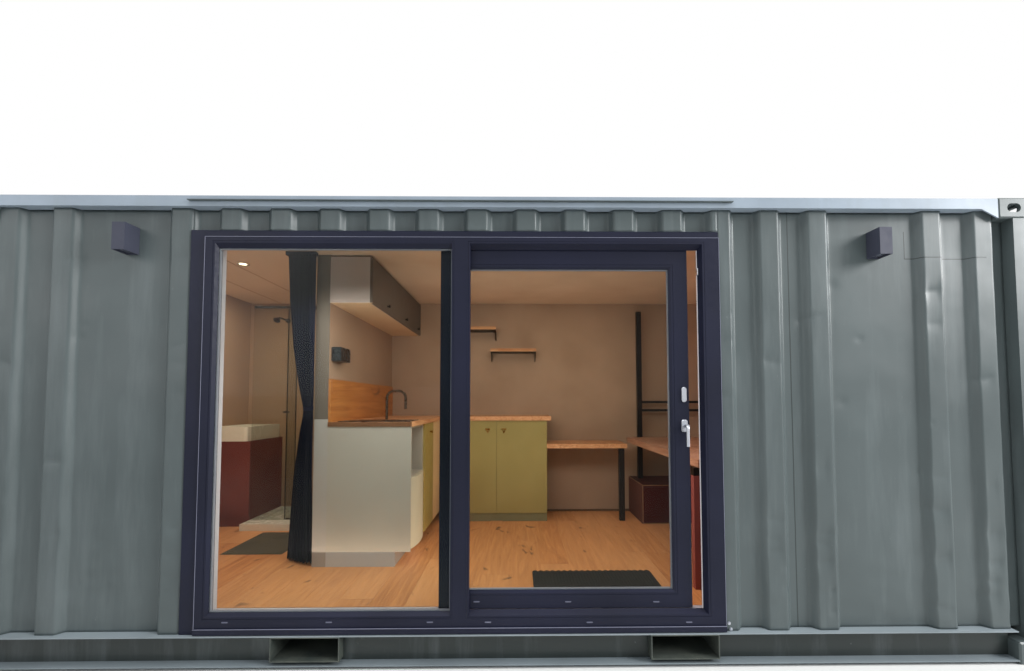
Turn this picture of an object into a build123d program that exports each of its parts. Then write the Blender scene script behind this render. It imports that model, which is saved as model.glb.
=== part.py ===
from build123d import *
import math
import os

# A cabin made from a twenty-foot steel container. X runs along its length, the window side
# faces -Y and Z points up. The origin is under the middle of the footprint, lamps included.

# Container envelope and steelwork
length = 6058.0
width = 2438.0
height = 2591.0
casting_length = 178.0
casting_depth = 162.0
casting_height = 118.0
casting_wall = 22.0
casting_edge = 8.0
casting_slot = (124.0, 63.5)
casting_hole = (79.0, 51.0)
face_inset = 3.0           # rails and posts stand this far inside the castings' faces
rail_bottom = 17.0         # underside of the bottom side rails
rail_top = 178.0           # top of the bottom side rails, and of the steel floor level
rail_flange = 66.0         # the bottom rail is a channel that opens outwards
rail_wall = 6.0
top_rail = 60.0            # square tube
top_rail_wall = 4.0
top_rail_drop = 6.0        # the tube lies this far below the castings' tops
gusset_length = 95.0       # sloped plates under the top rails' ends
gusset_thickness = 8.0
door_post = 126.0
blank_post = 96.0
post_depth = 110.0
post_wall = 8.0
pocket_spacing = 2050.0
pocket_width = 360.0
pocket_height = 118.0
pocket_wall = 6.0
member_height = 122.0
member_width = 45.0
member_wall = 5.0
member_pitch = 300.0
member_clear = 40.0        # cross members keep this far from the fork pockets
floor_board = 28.0

# Pressed steel walls and roof
sheet = 2.0
rib_inset = 31.0           # outer rib faces behind the castings' faces
rib_depth = 36.0
rib_flat = 106.0
rib_slope = 28.0
rib_pitch = 277.3
rib_count = 14
pattern_centre = 28.0
outer_ribs = (2462.0, 2760.0)
end_rib_flat = 110.0
end_rib_slope = 18.0
end_rib_pitch = 250.0
end_rib_depth = 45.0
end_rib_count = 9
end_inset = 12.0
roof_rib_depth = 20.0
roof_rib_flat = 91.0
roof_rib_slope = 13.5
roof_rib_pitch = 209.0
roof_inset = 10.0          # roof's upper flats below the castings' tops

# Window: a fixed pane on the left and a sliding leaf on the right
frame_left = -1627.0
frame_width = 2882.0
frame_lift = 35.0          # frame's underside above the bottom rail
frame_drop = 233.0         # frame's top below the castings' tops
frame_face = 17.0          # frame's face behind the castings' faces
frame_depth = 82.0
jamb_face = 56.0
jamb_bevel = 14.0
right_jamb_face = 95.0
right_jamb_bevel = 18.0
leaf_pocket = 23.0         # the closed leaf slides into this pocket in the right jamb
head_face = 35.0
head_bevel = 27.0
sill_face = 61.0
sill_bevel = 19.0
mullion_offset = 1376.0    # from the frame's left edge
mullion_width = 103.0
pane_setback = 16.0        # fixed pane behind the frame's face
pane_thickness = 20.0
leaf_setback = 42.0        # leaf's face behind the frame's face
leaf_depth = 34.0
leaf_cover = 13.0          # the leaf is this much wider than its light
leaf_ajar = 55.0           # the leaf stands this far short of the right jamb's lip
leaf_lift = 1.0            # its underside above the panes' lower edge
leaf_overlap = 22.0        # its top above the panes' upper edge
stile = 107.0
leaf_top_rail = 128.0
leaf_bottom_rail = 97.0
leaf_bevel = 14.0
bead = 10.0                # from a light's edge to the groove round it
bead_groove = 2.0
leaf_clearance = 7.0       # between the leaf and the fixed frame around it
track_height = 4.0
track_width = 6.0
running_gap = 0.3
roller_length = 70.0
roller_width = 10.0
sub_sill_reach = 8.0
rib_stub = 4.0
flashing_height = 40.0
flashing_reach = 8.0
strip_reach = 4.0
side_strip = 85.0
drip_reach = 20.0
drip_thickness = 8.0
drip_wall = 4.0
drip_lift = 28.0
drip_overhang = 75.0

# Lock furniture on the leaf
lever_inset = 29.0         # from the leaf's right edge
lever_height = 1006.0      # above the room's floor
lever_length = 112.0
lever_width = 18.0
lever_thickness = 12.0
neck_radius = 10.0
neck_length = 47.0
lever_bend = 16.0
lever_corner = 14.0
plate_width = 34.0
plate_height = 68.0
plate_thickness = 9.0
plate_corner = 10.0
plate_chamfer = 2.0
guard_lift = 176.0
guard_length = 85.0
guard_width = 28.0

# Cargo doors at the left end, closed and out of use
cargo_door_inset = 50.0    # their face behind the castings' end faces, which leaves room for the rods
cargo_door_thickness = 50.0
cargo_door_gap = 6.0
cargo_recess = 32.0
cargo_slope = 12.0
cargo_border = 60.0
cargo_bands = 5
rod_radius = 16.0
rod_stand = 6.0
rod_offsets = (230.0, 850.0)
rod_guide = 60.0
rod_guide_height = 40.0
guide_borders = (0, 2, 5)  # borders between the pressed bands that carry a guide, from the bottom
handle_height = 970.0      # above the bottom rail
handle_length = 300.0
handle_width = 30.0
handle_thickness = 10.0
hinge_count = 4
hinge_height = 90.0
hinge_length = 110.0
hinge_thickness = 8.0

# Wall lamps that shine up and down
lamp_width = 70.0
lamp_height = 152.0
lamp_depth = 100.0
lamp_wall = 4.0
lamp_recess = 14.0
lamp_left_x = -2066.0
lamp_right_x = 2172.0
lamp_left_drop = 247.0     # lamp's middle below the castings' tops
lamp_right_drop = 261.0

# Room
floor_rise = 112.0         # oak floor above the steel floor
ceiling_drop = 106.0       # ceiling below the castings' tops
ceiling_board = 30.0
air_gap = 14.0             # between the pressed wall and the lining
lining = 22.0
end_lining = 60.0
plank_width = 200.0
plank_joint = 2.0
left_end_lining = 309.0    # from the left castings' end faces to the room
right_end_lining = 149.0
bathroom_length = 1407.0
partition_thickness = 96.0

# Kitchen along the partition
kitchen_run = 1612.0       # from the back wall
kitchen_depth = 585.0
counter_height = 1002.0
counter_thickness = 32.0
counter_reach = 10.0
counter_front_reach = 6.0
counter_corner = 12.0
kick_height = 100.0
kick_depth = 107.0
panel = 18.0
nook_width = 492.0
nook_height = 602.0
nook_back = 150.0
curved_front_radius = 740.0
front_gap = 3.0
splash_height = 304.0
wall_cabinet_depth = 300.0
wall_cabinet_height = 332.0
wall_cabinet_gap = 13.0
wall_door_count = 3
hanger_inset = 40.0
hob_offset = 30.0
hob_length = 510.0
hob_width = 300.0
hob_thickness = 6.0
hob_inset = 18.0
tap_offset = 582.0
tap_inset = 245.0
tap_height = 245.0
tap_reach = 156.0
tap_drop = 150.0
tap_bend = 60.0
tap_radius = 11.0
box_offset = 38.0          # control box on the wall over the worktop
box_width = 180.0
box_depth = 70.0
box_height = 99.0
box_lift = 1439.0

# Green cabinet, desk and shelves on the back wall
cabinet_offset = 648.0     # from the partition
cabinet_width = 970.0
cabinet_depth = 415.0
cabinet_height = 965.0
cabinet_plinth = 76.0
plinth_recess = 10.0
vent_radius = 55.0
vent_depth = 14.0
cabinet_top_thickness = 41.0
cabinet_top_left = 31.0
cabinet_top_right = 41.0
cabinet_top_reach = 15.0
desk_height = 737.0
desk_thickness = 42.0
desk_bed_gap = 45.0
desk_leg_size = 50.0
desk_leg_inset = 26.0
desk_leg_back = 7.0
shelf_depth = 200.0
shelf_thickness = 31.0
upper_shelf = (9.0, 461.0, 1887.0)      # left end from the cabinet's, right end, height above floor
lower_shelf = (410.0, 875.0, 1661.0)
bracket_height = 90.0
bracket_width = 8.0
bracket_reach = 150.0

# Raised bed at the right end, with the cabinet under its far end
bed_width = 1655.0
bed_front_gap = 188.0      # from the window side's lining to the bed
bed_back_gap = 220.0
bed_height = 787.0
bed_thickness = 50.0
bed_beam = 60.0
slat_pitch = 120.0
slat_gap = 20.0
slat_groove = 6.0
bed_leg_size = 46.0
bed_leg_offset = -25.0
bed_leg_inset = 10.0
under_cabinet_offset = 65.0
under_cabinet_width = 910.0
under_cabinet_depth = 534.0
under_cabinet_height = 363.0
post_offset = 132.0
post_size = 46.0
post_back_gap = 104.0
post_height = 2084.0
guard_rail_length = 697.0
guard_rail_size = 25.0
guard_rail_heights = (1045.0, 1130.0)

# Bathroom corner at the left end, and the curtain in front of it
vanity_width = 365.0
vanity_depth = 580.0
vanity_height = 782.0
basin_height = 135.0
basin_inset = 35.0
basin_wall = 30.0
basin_shelf = 120.0
basin_slope = 25.0
basin_depth = 95.0
tray_depth = 715.0
tray_height = 60.0
tray_rim = 45.0
tray_drop = 30.0
screen_offset = 149.0
screen_gap = 10.0          # between the fixed panel and the door panel
screen_thickness = 8.0
screen_fixed = 322.0
screen_overlap = 82.0
screen_clamp = 22.0
screen_height = 1990.0
track_drop = 25.0
track_start = 187.0
track_end = -23.0
curtain_track_width = 40.0
curtain_front = 58.0       # the track's middle in front of the partition's end
curtain_gap = 0.3
curtain_floor_gap = 8.0
curtain_shape = (          # share of the drop, middle from the partition's end, size along X and Y
    (0.0, -145.0, 127.0, 250.0, 230.0), (0.28, -84.0, 20.0, 140.0, 110.0),
    (0.505, -22.0, -48.0, 66.0, 60.0), (0.697, -55.0, -58.0, 150.0, 78.0), (1.0, -77.0, -58.0, 198.0, 78.0),
)

# Derived places
lamp_reach = lamp_depth - rib_inset - rib_depth     # beyond the front castings' faces
axis_y = lamp_reach / 2
front = axis_y - width / 2
back = axis_y + width / 2
half = length / 2
flange = front + face_inset
back_flange = back - face_inset
rib_face = front + rib_inset
recess_face = rib_face + rib_depth
wall_inside = recess_face + sheet
back_wall_inside = back - rib_inset - rib_depth - sheet
lining_front = wall_inside + air_gap
lining_back_face = back_wall_inside - air_gap
room_front = lining_front + lining
room_back = lining_back_face - lining
roof_top = height - roof_inset
top_rail_top = height - top_rail_drop
top_rail_bottom = top_rail_top - top_rail
header_bottom = height - casting_height
post_bottom = casting_height
post_top = height - casting_height
rail_end = half - casting_length
pocket_floor = rail_top - rail_wall - pocket_wall - pocket_height
pocket_outside = (pocket_floor - pocket_wall, pocket_floor + pocket_height + pocket_wall)
pocket_reach = pocket_width / 2 + pocket_wall
member_top = rail_top - floor_board
frame_right = frame_left + frame_width
opening_left = frame_left - side_strip
frame_bottom = rail_top + frame_lift
frame_top = height - frame_drop
window_face = front + frame_face
window_back = window_face + frame_depth
pane_face = window_face + pane_setback
leaf_face = window_face + leaf_setback
leaf_back = leaf_face + leaf_depth
leaf_middle = leaf_face + leaf_depth / 2
room_left = -half + left_end_lining
room_right = half - right_end_lining
floor_level = rail_top + floor_rise
ceiling_level = height - ceiling_drop
ceiling_top = ceiling_level + ceiling_board
partition_far = room_left + bathroom_length
partition_x = partition_far + partition_thickness
kitchen_front = room_back - kitchen_run
kitchen_face = partition_x + kitchen_depth
door_line = kitchen_face - panel
kick_top = floor_level + kick_height
counter_top = floor_level + counter_height
counter_low = counter_top - counter_thickness
nook_end = kitchen_front + nook_width
nook_floor = floor_level + nook_height
cabinet_left = partition_x + cabinet_offset
cabinet_right = cabinet_left + cabinet_width
cabinet_front = room_back - cabinet_depth
cabinet_low = floor_level + cabinet_height
cabinet_top = cabinet_low + cabinet_top_thickness
plinth_top = floor_level + cabinet_plinth
bed_left = room_right - bed_width
bed_back = room_back - bed_back_gap
bed_front = room_front + bed_front_gap
bed_top = floor_level + bed_height
bed_low = bed_top - bed_thickness
red_top = floor_level + under_cabinet_height
desk_right = bed_left - desk_bed_gap
desk_top = floor_level + desk_height
desk_low = desk_top - desk_thickness
vanity_right = room_left + vanity_width
vanity_front = room_back - vanity_depth
vanity_top = floor_level + vanity_height
tray_front = room_back - tray_depth
tray_top = floor_level + tray_height
screen_front = tray_front + screen_offset
screen_back = screen_front + 2 * screen_thickness + screen_gap
screen_door_left = vanity_right + screen_fixed
curtain_line = kitchen_front - curtain_front
track_low = ceiling_level - track_drop
sill_top = frame_bottom + sill_face
head_low = frame_top - head_face
pane_bottom = sill_top + sill_bevel
pane_top = head_low - head_bevel
jamb_in = frame_left + jamb_face
pane_left = jamb_in + jamb_bevel
mullion_left = frame_left + mullion_offset
mullion_right = mullion_left + mullion_width
right_jamb_in = frame_right - right_jamb_face
right_lip = right_jamb_in - right_jamb_bevel
mullion_back = leaf_face - leaf_clearance
pane_back = pane_face + pane_thickness
leaf_right = right_lip - leaf_ajar
leaf_left = leaf_right - (right_lip - mullion_left) - leaf_cover
leaf_bottom = pane_bottom + leaf_lift
leaf_top = pane_top + leaf_overlap
track_level = leaf_bottom - leaf_clearance
head_pocket = leaf_top + leaf_clearance
glass_x = (leaf_left + stile, leaf_right - stile)
glass_z = (leaf_bottom + leaf_bottom_rail, leaf_top - leaf_top_rail)
glass_face = leaf_middle - pane_thickness / 2
lever_x = leaf_right - lever_inset
lever_z = floor_level + lever_height
guard_z = lever_z + guard_lift
door_face = -half + cargo_door_inset
door_back = door_face + cargo_door_thickness


def block(x, y, z, mode=Mode.ADD):
    """Add a plain block between the given low and high corners."""
    with Locations(((x[0] + x[1]) / 2, (y[0] + y[1]) / 2, (z[0] + z[1]) / 2)):
        Box(x[1] - x[0], y[1] - y[0], z[1] - z[0], mode=mode)


def ordered(one, other):
    return (min(one, other), max(one, other))


def clear_corners():
    """Cut the room of the corner castings and corner posts out of the piece being made."""
    for side, face in ((-1, door_post), (1, blank_post)):
        x_casting = ordered(side * half, side * (half - casting_length))
        x_post = ordered(side * half, side * (half - face))
        for y_casting, y_post in (
            ((front, front + casting_depth), (front, flange + post_depth)),
            ((back - casting_depth, back), (back_flange - post_depth, back)),
        ):
            block(x_casting, y_casting, (height - casting_height, height), Mode.SUBTRACT)
            block(x_post, y_post, (0, height), Mode.SUBTRACT)


def save(piece, name):
    piece.part.label = name
    export_step(piece.part, f"parts/{name}.step")


def splayed_cut(plane, near, far, near_level, far_level):
    """Cut a hole that narrows or widens from the near rectangle to the far one, square to a plane."""
    rings = []
    for ranges, level in ((near, near_level), (far, far_level)):
        shift = -level if plane == Plane.XZ else level
        with BuildSketch(plane.offset(shift)) as ring:
            with Locations(((ranges[0][0] + ranges[0][1]) / 2, (ranges[1][0] + ranges[1][1]) / 2)):
                Rectangle(ranges[0][1] - ranges[0][0], ranges[1][1] - ranges[1][0])
        rings.append(ring.sketch)
    loft(sections=rings, mode=Mode.SUBTRACT)


def groove(x, z, face):
    """Cut the fine groove of a glazing bead round a light, in the face that stands at this depth."""
    with BuildSketch(Plane.XZ.offset(-face)) as bead_line:
        with Locations(((x[0] + x[1]) / 2, (z[0] + z[1]) / 2)):
            Rectangle(x[1] - x[0] + 2 * (bead + bead_groove), z[1] - z[0] + 2 * (bead + bead_groove))
            Rectangle(x[1] - x[0] + 2 * bead, z[1] - z[0] + 2 * bead, mode=Mode.SUBTRACT)
    extrude(bead_line.sketch, amount=-bead_groove, mode=Mode.SUBTRACT)


def rib_line(start, end, ribs, depth, slope):
    """Points of a pressed sheet: level 0 on the recesses and depth on the ribs' flats."""
    corners = []
    for low, high in ribs:
        corners += [(low - slope, 0.0), (low, depth), (high, depth), (high + slope, 0.0)]

    def level_at(place):
        for (low, low_level), (high, high_level) in zip(corners, corners[1:]):
            if low <= place <= high:
                return low_level + (high_level - low_level) * (place - low) / (high - low)
        return 0.0

    between = [corner for corner in corners if start < corner[0] < end]
    return [(start, level_at(start))] + between + [(end, level_at(end))]


def sheet_outline(points, thickness, slope, depth):
    """Close a line of points into a sheet of even thickness, measured square to each face."""
    shift = thickness * math.tan(math.atan2(depth, slope) / 2)
    inner = [(points[0][0], points[0][1] - thickness)]
    for (_, before), (place, level), (_, after) in zip(points, points[1:], points[2:]):
        rising = after > level or before < level
        inner.append((place + (shift if rising else -shift), level - thickness))
    inner.append((points[-1][0], points[-1][1] - thickness))
    return points + inner[::-1]


def rib_places(middle, count, pitch, flat):
    """Low and high edges of the flats of evenly spaced ribs."""
    places = []
    for number in range(count):
        place = middle + (number - (count - 1) / 2) * pitch
        places.append((place - flat / 2, place + flat / 2))
    return places


os.makedirs("parts", exist_ok=True)

# Ribbed side walls, cut round the window in front
side_ribs = rib_places(pattern_centre, rib_count, rib_pitch, rib_flat)
for offset in outer_ribs:
    for side in (-1, 1):
        middle = pattern_centre + side * offset
        side_ribs.append((middle - rib_flat / 2, middle + rib_flat / 2))
side_ribs.sort()
wall_start = -half + door_post
wall_end = half - blank_post


def side_sheet(start, end, low, high, recess, outward):
    """One stretch of ribbed side wall whose recesses lie at recess and whose ribs point outward."""
    ribs = [pair for pair in side_ribs if pair[1] + rib_slope > start and pair[0] - rib_slope < end]
    points = sheet_outline(rib_line(start, end, ribs, rib_depth, rib_slope), sheet, rib_slope, rib_depth)
    with BuildSketch(Plane.XY.offset(low)) as profile:
        with BuildLine():
            Polyline(*[(x, recess + outward * level) for x, level in points], close=True)
        make_face()
    extrude(profile.sketch, amount=high - low)
    clear_corners()


with BuildPart() as front_wall_left:
    side_sheet(wall_start, opening_left, rail_top, top_rail_bottom, recess_face, -1)
save(front_wall_left, "front_wall_left")

with BuildPart() as front_wall_right:
    side_sheet(frame_right, wall_end, rail_top, top_rail_bottom, recess_face, -1)
save(front_wall_right, "front_wall_right")

with BuildPart() as front_wall_over_window:
    side_sheet(opening_left, frame_right, frame_top + flashing_height, top_rail_bottom, recess_face, -1)
save(front_wall_over_window, "front_wall_over_window")

with BuildPart() as back_wall:
    side_sheet(wall_start, wall_end, rail_top, top_rail_bottom, back - rib_inset - rib_depth, 1)
save(back_wall, "back_wall")

with BuildPart() as blank_end_wall:
    end_low = flange + post_depth
    end_high = back_flange - post_depth
    end_ribs = rib_places(axis_y, end_rib_count, end_rib_pitch, end_rib_flat)
    end_points = sheet_outline(
        rib_line(end_low, end_high, end_ribs, end_rib_depth, end_rib_slope),
        sheet, end_rib_slope, end_rib_depth,
    )
    end_recess = half - end_inset - end_rib_depth
    with BuildSketch(Plane.XY.offset(rail_top)) as profile:
        with BuildLine():
            Polyline(*[(end_recess + level, y) for y, level in end_points], close=True)
        make_face()
    extrude(amount=top_rail_bottom - rail_top)
    clear_corners()
save(blank_end_wall, "blank_end_wall")

with BuildPart() as roof_panel:
    roof_count = int(2 * rail_end // roof_rib_pitch)
    roof_ribs = rib_places(0.0, roof_count, roof_rib_pitch, roof_rib_flat)
    roof_points = sheet_outline(
        rib_line(-rail_end, rail_end, roof_ribs, roof_rib_depth, roof_rib_slope),
        sheet, roof_rib_slope, roof_rib_depth,
    )
    roof_side = width / 2 - face_inset - top_rail
    with BuildSketch(Plane.XZ.offset(roof_side - axis_y)):
        with BuildLine():
            Polyline(*[(x, roof_top - roof_rib_depth + level) for x, level in roof_points], close=True)
        make_face()
    extrude(amount=-2 * roof_side)
    # Flat ends between the castings, out to the end rails
    roof_flat = roof_top - roof_rib_depth
    for side in (-1, 1):
        block(ordered(side * rail_end, side * (half - face_inset - top_rail)),
              (front + casting_depth, back - casting_depth), (roof_flat - sheet, roof_flat))
save(roof_panel, "roof_panel")

# Bottom rails: channels along the sides, with the fork pockets' tubes let through, and end sills
with BuildPart() as bottom_side_rails:
    for outer, inner in ((flange, flange + rail_flange), (back_flange, back_flange - rail_flange)):
        web = inner - rail_wall if outer < inner else inner + rail_wall
        block((-rail_end, rail_end), ordered(outer, inner), (rail_bottom, rail_top))
        block((-rail_end, rail_end), ordered(outer, web),
              (rail_bottom + rail_wall, rail_top - rail_wall), Mode.SUBTRACT)
        for side in (-1, 1):
            middle = side * pocket_spacing / 2
            block((middle - pocket_reach, middle + pocket_reach), ordered(outer, inner),
                  pocket_outside, Mode.SUBTRACT)
save(bottom_side_rails, "bottom_side_rails")

with BuildPart() as bottom_end_rails:
    for side in (-1, 1):
        outer = side * (half - face_inset)
        inner = outer - side * rail_flange
        y_range = (front + casting_depth, back - casting_depth)
        block(ordered(outer, inner), y_range, (rail_bottom, rail_top))
        block(ordered(outer - side * rail_wall, inner), y_range,
              (rail_bottom + rail_wall, rail_top - rail_wall), Mode.SUBTRACT)
save(bottom_end_rails, "bottom_end_rails")

with BuildPart() as fork_pockets:
    for side in (-1, 1):
        middle = side * pocket_spacing / 2
        block((middle - pocket_reach, middle + pocket_reach), (flange, back_flange), pocket_outside)
        block((middle - pocket_width / 2, middle + pocket_width / 2), (flange, back_flange),
              (pocket_floor, pocket_floor + pocket_height), Mode.SUBTRACT)
save(fork_pockets, "fork_pockets")

with BuildPart() as top_rails:
    for y_range in ((flange, flange + top_rail), (back_flange - top_rail, back_flange)):
        block((-rail_end, rail_end), y_range, (top_rail_bottom, top_rail_top))
        block((-rail_end, rail_end), (y_range[0] + top_rail_wall, y_range[1] - top_rail_wall),
              (top_rail_bottom + top_rail_wall, top_rail_top - top_rail_wall), Mode.SUBTRACT)
    for side, low in ((-1, header_bottom), (1, top_rail_bottom)):
        x_range = ordered(side * (half - face_inset), side * (half - face_inset - top_rail))
        y_range = (front + casting_depth, back - casting_depth)
        block(x_range, y_range, (low, top_rail_top))
        block((x_range[0] + top_rail_wall, x_range[1] - top_rail_wall), y_range,
              (low + top_rail_wall, top_rail_top - top_rail_wall), Mode.SUBTRACT)
        for y_plate, inwards in ((flange, 1), (back_flange, -1)):
            with BuildSketch(Plane.XZ.offset(-y_plate)) as gusset:
                with BuildLine():
                    Polyline((side * rail_end, top_rail_bottom), (side * rail_end, header_bottom),
                             (side * (rail_end - gusset_length), top_rail_bottom), close=True)
                make_face()
            extrude(gusset.sketch, amount=-inwards * gusset_thickness)
save(top_rails, "top_rails")

with BuildPart() as corner_posts:
    for side, face in ((-1, door_post), (1, blank_post)):
        x_range = ordered(side * (half - face_inset), side * (half - face))
        for y_range in ((flange, flange + post_depth), (back_flange - post_depth, back_flange)):
            block(x_range, y_range, (post_bottom, post_top))
            block((x_range[0] + post_wall, x_range[1] - post_wall),
                  (y_range[0] + post_wall, y_range[1] - post_wall),
                  (post_bottom, post_top), Mode.SUBTRACT)
save(corner_posts, "corner_posts")

with BuildPart() as corner_castings:
    casting_middle = (half - casting_length / 2, back - casting_depth / 2, height - casting_height / 2)
    with Locations(casting_middle):
        Box(casting_length, casting_depth, casting_height)
    chamfer(corner_castings.edges(), casting_edge)
    with Locations(casting_middle):
        Box(casting_length - 2 * casting_wall, casting_depth - 2 * casting_wall,
            casting_height - 2 * casting_wall, mode=Mode.SUBTRACT)
    for x_dir, z_dir, hole_size in (
        ((1, 0, 0), (0, 0, 1), casting_slot), ((1, 0, 0), (0, 1, 0), casting_hole), ((0, 1, 0), (1, 0, 0), casting_hole),
    ):
        with BuildSketch(Plane(origin=casting_middle, x_dir=x_dir, z_dir=z_dir)) as hole:
            SlotOverall(hole_size[0], hole_size[1])
        extrude(hole.sketch, amount=casting_length, mode=Mode.SUBTRACT)
    mirror(about=Plane.YZ)
    mirror(about=Plane.XZ.offset(-axis_y))
    mirror(about=Plane.XY.offset(height / 2))
save(corner_castings, "corner_castings")

# Underframe: channel cross members between the rails, and the boards of the steel floor
web_front = flange + rail_flange
web_back = back_flange - rail_flange
pocket_edges = []
for side in (-1, 1):
    reach = pocket_reach + member_clear
    pocket_edges.append((side * pocket_spacing / 2 - reach, side * pocket_spacing / 2 + reach))
member_places = []
member_total = int((length - 2 * casting_length) // member_pitch)
for number in range(member_total):
    place = (number - (member_total - 1) / 2) * member_pitch
    if not any(low < place + member_width and place - member_width < high for low, high in pocket_edges):
        member_places.append(place)

with BuildPart() as cross_members:
    for place in member_places:
        block((place - member_width / 2, place + member_width / 2), (web_front, web_back),
              (member_top - member_height, member_top))
        block((place - member_width / 2 + member_wall, place + member_width / 2), (web_front, web_back),
              (member_top - member_height + member_wall, member_top - member_wall), Mode.SUBTRACT)
save(cross_members, "cross_members")

with BuildPart() as floor_base:
    block((-rail_end, rail_end), (web_front, web_back), (member_top, rail_top))
    for side in (-1, 1):
        middle = side * pocket_spacing / 2
        block((middle - pocket_reach, middle + pocket_reach), (web_front, web_back),
              (member_top, pocket_outside[1]), Mode.SUBTRACT)
save(floor_base, "floor_base")

# Cargo doors with pressed bands and strap hinges, and their lock rods with guides and handles
door_low = rail_top + cargo_door_gap
door_high = header_bottom - cargo_door_gap
door_side = width / 2 - face_inset - post_depth - cargo_door_gap
band = (door_high - door_low - cargo_border * (cargo_bands + 1)) / cargo_bands

with BuildPart() as cargo_doors:
    for y_side in (-1, 1):
        y_range = ordered(axis_y + y_side * cargo_door_gap / 2, axis_y + y_side * door_side)
        block((door_face, door_back), y_range, (door_low, door_high))
        for number in range(cargo_bands):
            low = door_low + cargo_border + number * (band + cargo_border)
            pressing = ((y_range[0] + cargo_border, y_range[1] - cargo_border), (low, low + band))
            bottom = [(low_edge + cargo_slope, high_edge - cargo_slope) for low_edge, high_edge in pressing]
            splayed_cut(Plane.YZ, pressing, bottom, door_face, door_face + cargo_recess)
        for number in range(hinge_count):
            middle = door_low + (number + 0.5) * (door_high - door_low) / hinge_count
            hinge_end = axis_y + y_side * (door_side + cargo_door_gap)
            block((door_face - hinge_thickness, door_face), ordered(hinge_end, hinge_end - y_side * hinge_length),
                  (middle - hinge_height / 2, middle + hinge_height / 2))
save(cargo_doors, "cargo_doors")

rod_x = door_face - rod_radius - rod_stand
with BuildPart() as lock_rods:
    for y_side in (-1, 1):
        for offset, turn in zip(rod_offsets, (1, -1)):
            y_rod = axis_y + y_side * offset
            with Locations((rod_x, y_rod, (door_low + door_high) / 2)):
                Cylinder(rod_radius, door_high - door_low)
            for number in guide_borders:
                level = door_low + number * (band + cargo_border) + cargo_border / 2
                block((rod_x, door_face), (y_rod - rod_guide / 2, y_rod + rod_guide / 2),
                      (level - rod_guide_height / 2, level + rod_guide_height / 2))
            level = rail_top + handle_height
            block((rod_x - handle_thickness / 2, rod_x + handle_thickness / 2),
                  ordered(y_rod, y_rod + y_side * turn * handle_length),
                  (level - handle_width / 2, level + handle_width / 2))
save(lock_rods, "lock_rods")

# Window: one ring with splayed lights, cut into sill, head, jambs and mullion
with BuildPart() as window_ring:
    block((frame_left, frame_right), (window_face, window_back), (frame_bottom, frame_top))
    lights = (
        ((jamb_in, mullion_left), (pane_left, mullion_left), pane_face),
        ((mullion_right, right_jamb_in), (mullion_right, right_lip), mullion_back),
    )
    for near_x, far_x, far_y in lights:
        splayed_cut(Plane.XZ, (near_x, (sill_top, head_low)), (far_x, (pane_bottom, pane_top)),
                    window_face, far_y)
        groove(near_x, (sill_top, head_low), window_face)
    block((pane_left, mullion_left), (pane_face, mullion_back), (pane_bottom, pane_top), Mode.SUBTRACT)
    block((pane_left, right_lip + leaf_pocket), (mullion_back, window_back),
          (track_level, head_pocket), Mode.SUBTRACT)

with BuildPart() as window_sill:
    add(window_ring.part)
    block((frame_left, frame_right), (window_face, window_back), (frame_bottom, pane_bottom), Mode.INTERSECT)
    block((pane_left, right_lip), (leaf_middle - track_width / 2, leaf_middle + track_width / 2),
          (track_level, track_level + track_height))
save(window_sill, "window_sill")

with BuildPart() as window_head:
    add(window_ring.part)
    block((frame_left, frame_right), (window_face, window_back), (pane_top, frame_top), Mode.INTERSECT)
save(window_head, "window_head")

with BuildPart() as window_jambs:
    add(window_ring.part)
    block((frame_left, frame_right), (window_face, window_back), (pane_bottom, pane_top), Mode.INTERSECT)
    block((pane_left, right_lip), (window_face, window_back), (pane_bottom, pane_top), Mode.SUBTRACT)
save(window_jambs, "window_jambs")

with BuildPart() as window_mullion:
    add(window_ring.part)
    block((mullion_left, mullion_right), (window_face, mullion_back), (pane_bottom, pane_top), Mode.INTERSECT)
save(window_mullion, "window_mullion")

with BuildPart() as fixed_pane:
    block((pane_left, mullion_left), (pane_face, pane_back), (pane_bottom, pane_top))
save(fixed_pane, "fixed_pane")

# Sliding leaf with its rollers and splayed opening, its glass, lock plates and lever
with BuildPart() as leaf_frame:
    block((leaf_left, leaf_right), (leaf_face, leaf_back), (leaf_bottom, leaf_top))
    leaf_hole = [(low - leaf_bevel, high + leaf_bevel) for low, high in (glass_x, glass_z)]
    splayed_cut(Plane.XZ, leaf_hole, (glass_x, glass_z), leaf_face, glass_face)
    groove(leaf_hole[0], leaf_hole[1], leaf_face)
    block(glass_x, (glass_face, leaf_back), glass_z, Mode.SUBTRACT)
    for end in glass_x:
        block((end - roller_length / 2, end + roller_length / 2),
              (leaf_middle - roller_width / 2, leaf_middle + roller_width / 2),
              (track_level + track_height + running_gap, leaf_bottom))
save(leaf_frame, "leaf_frame")

with BuildPart() as leaf_glass:
    block(glass_x, (glass_face, glass_face + pane_thickness), glass_z)
save(leaf_glass, "leaf_glass")

with BuildPart() as lock_plates:
    with BuildSketch(Plane(origin=(lever_x, leaf_face, lever_z), x_dir=(1, 0, 0), z_dir=(0, -1, 0))) as plate:
        RectangleRounded(plate_width, plate_height, plate_corner)
    extrude(plate.sketch, amount=plate_thickness)
    with BuildSketch(Plane(origin=(lever_x, leaf_face, guard_z), x_dir=(0, 0, 1), z_dir=(0, -1, 0))) as guard:
        SlotOverall(guard_length, guard_width)
    extrude(guard.sketch, amount=plate_thickness)
    chamfer(lock_plates.faces().group_by(Axis.Y)[0].edges(), plate_chamfer)
save(lock_plates, "lock_plates")

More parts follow.
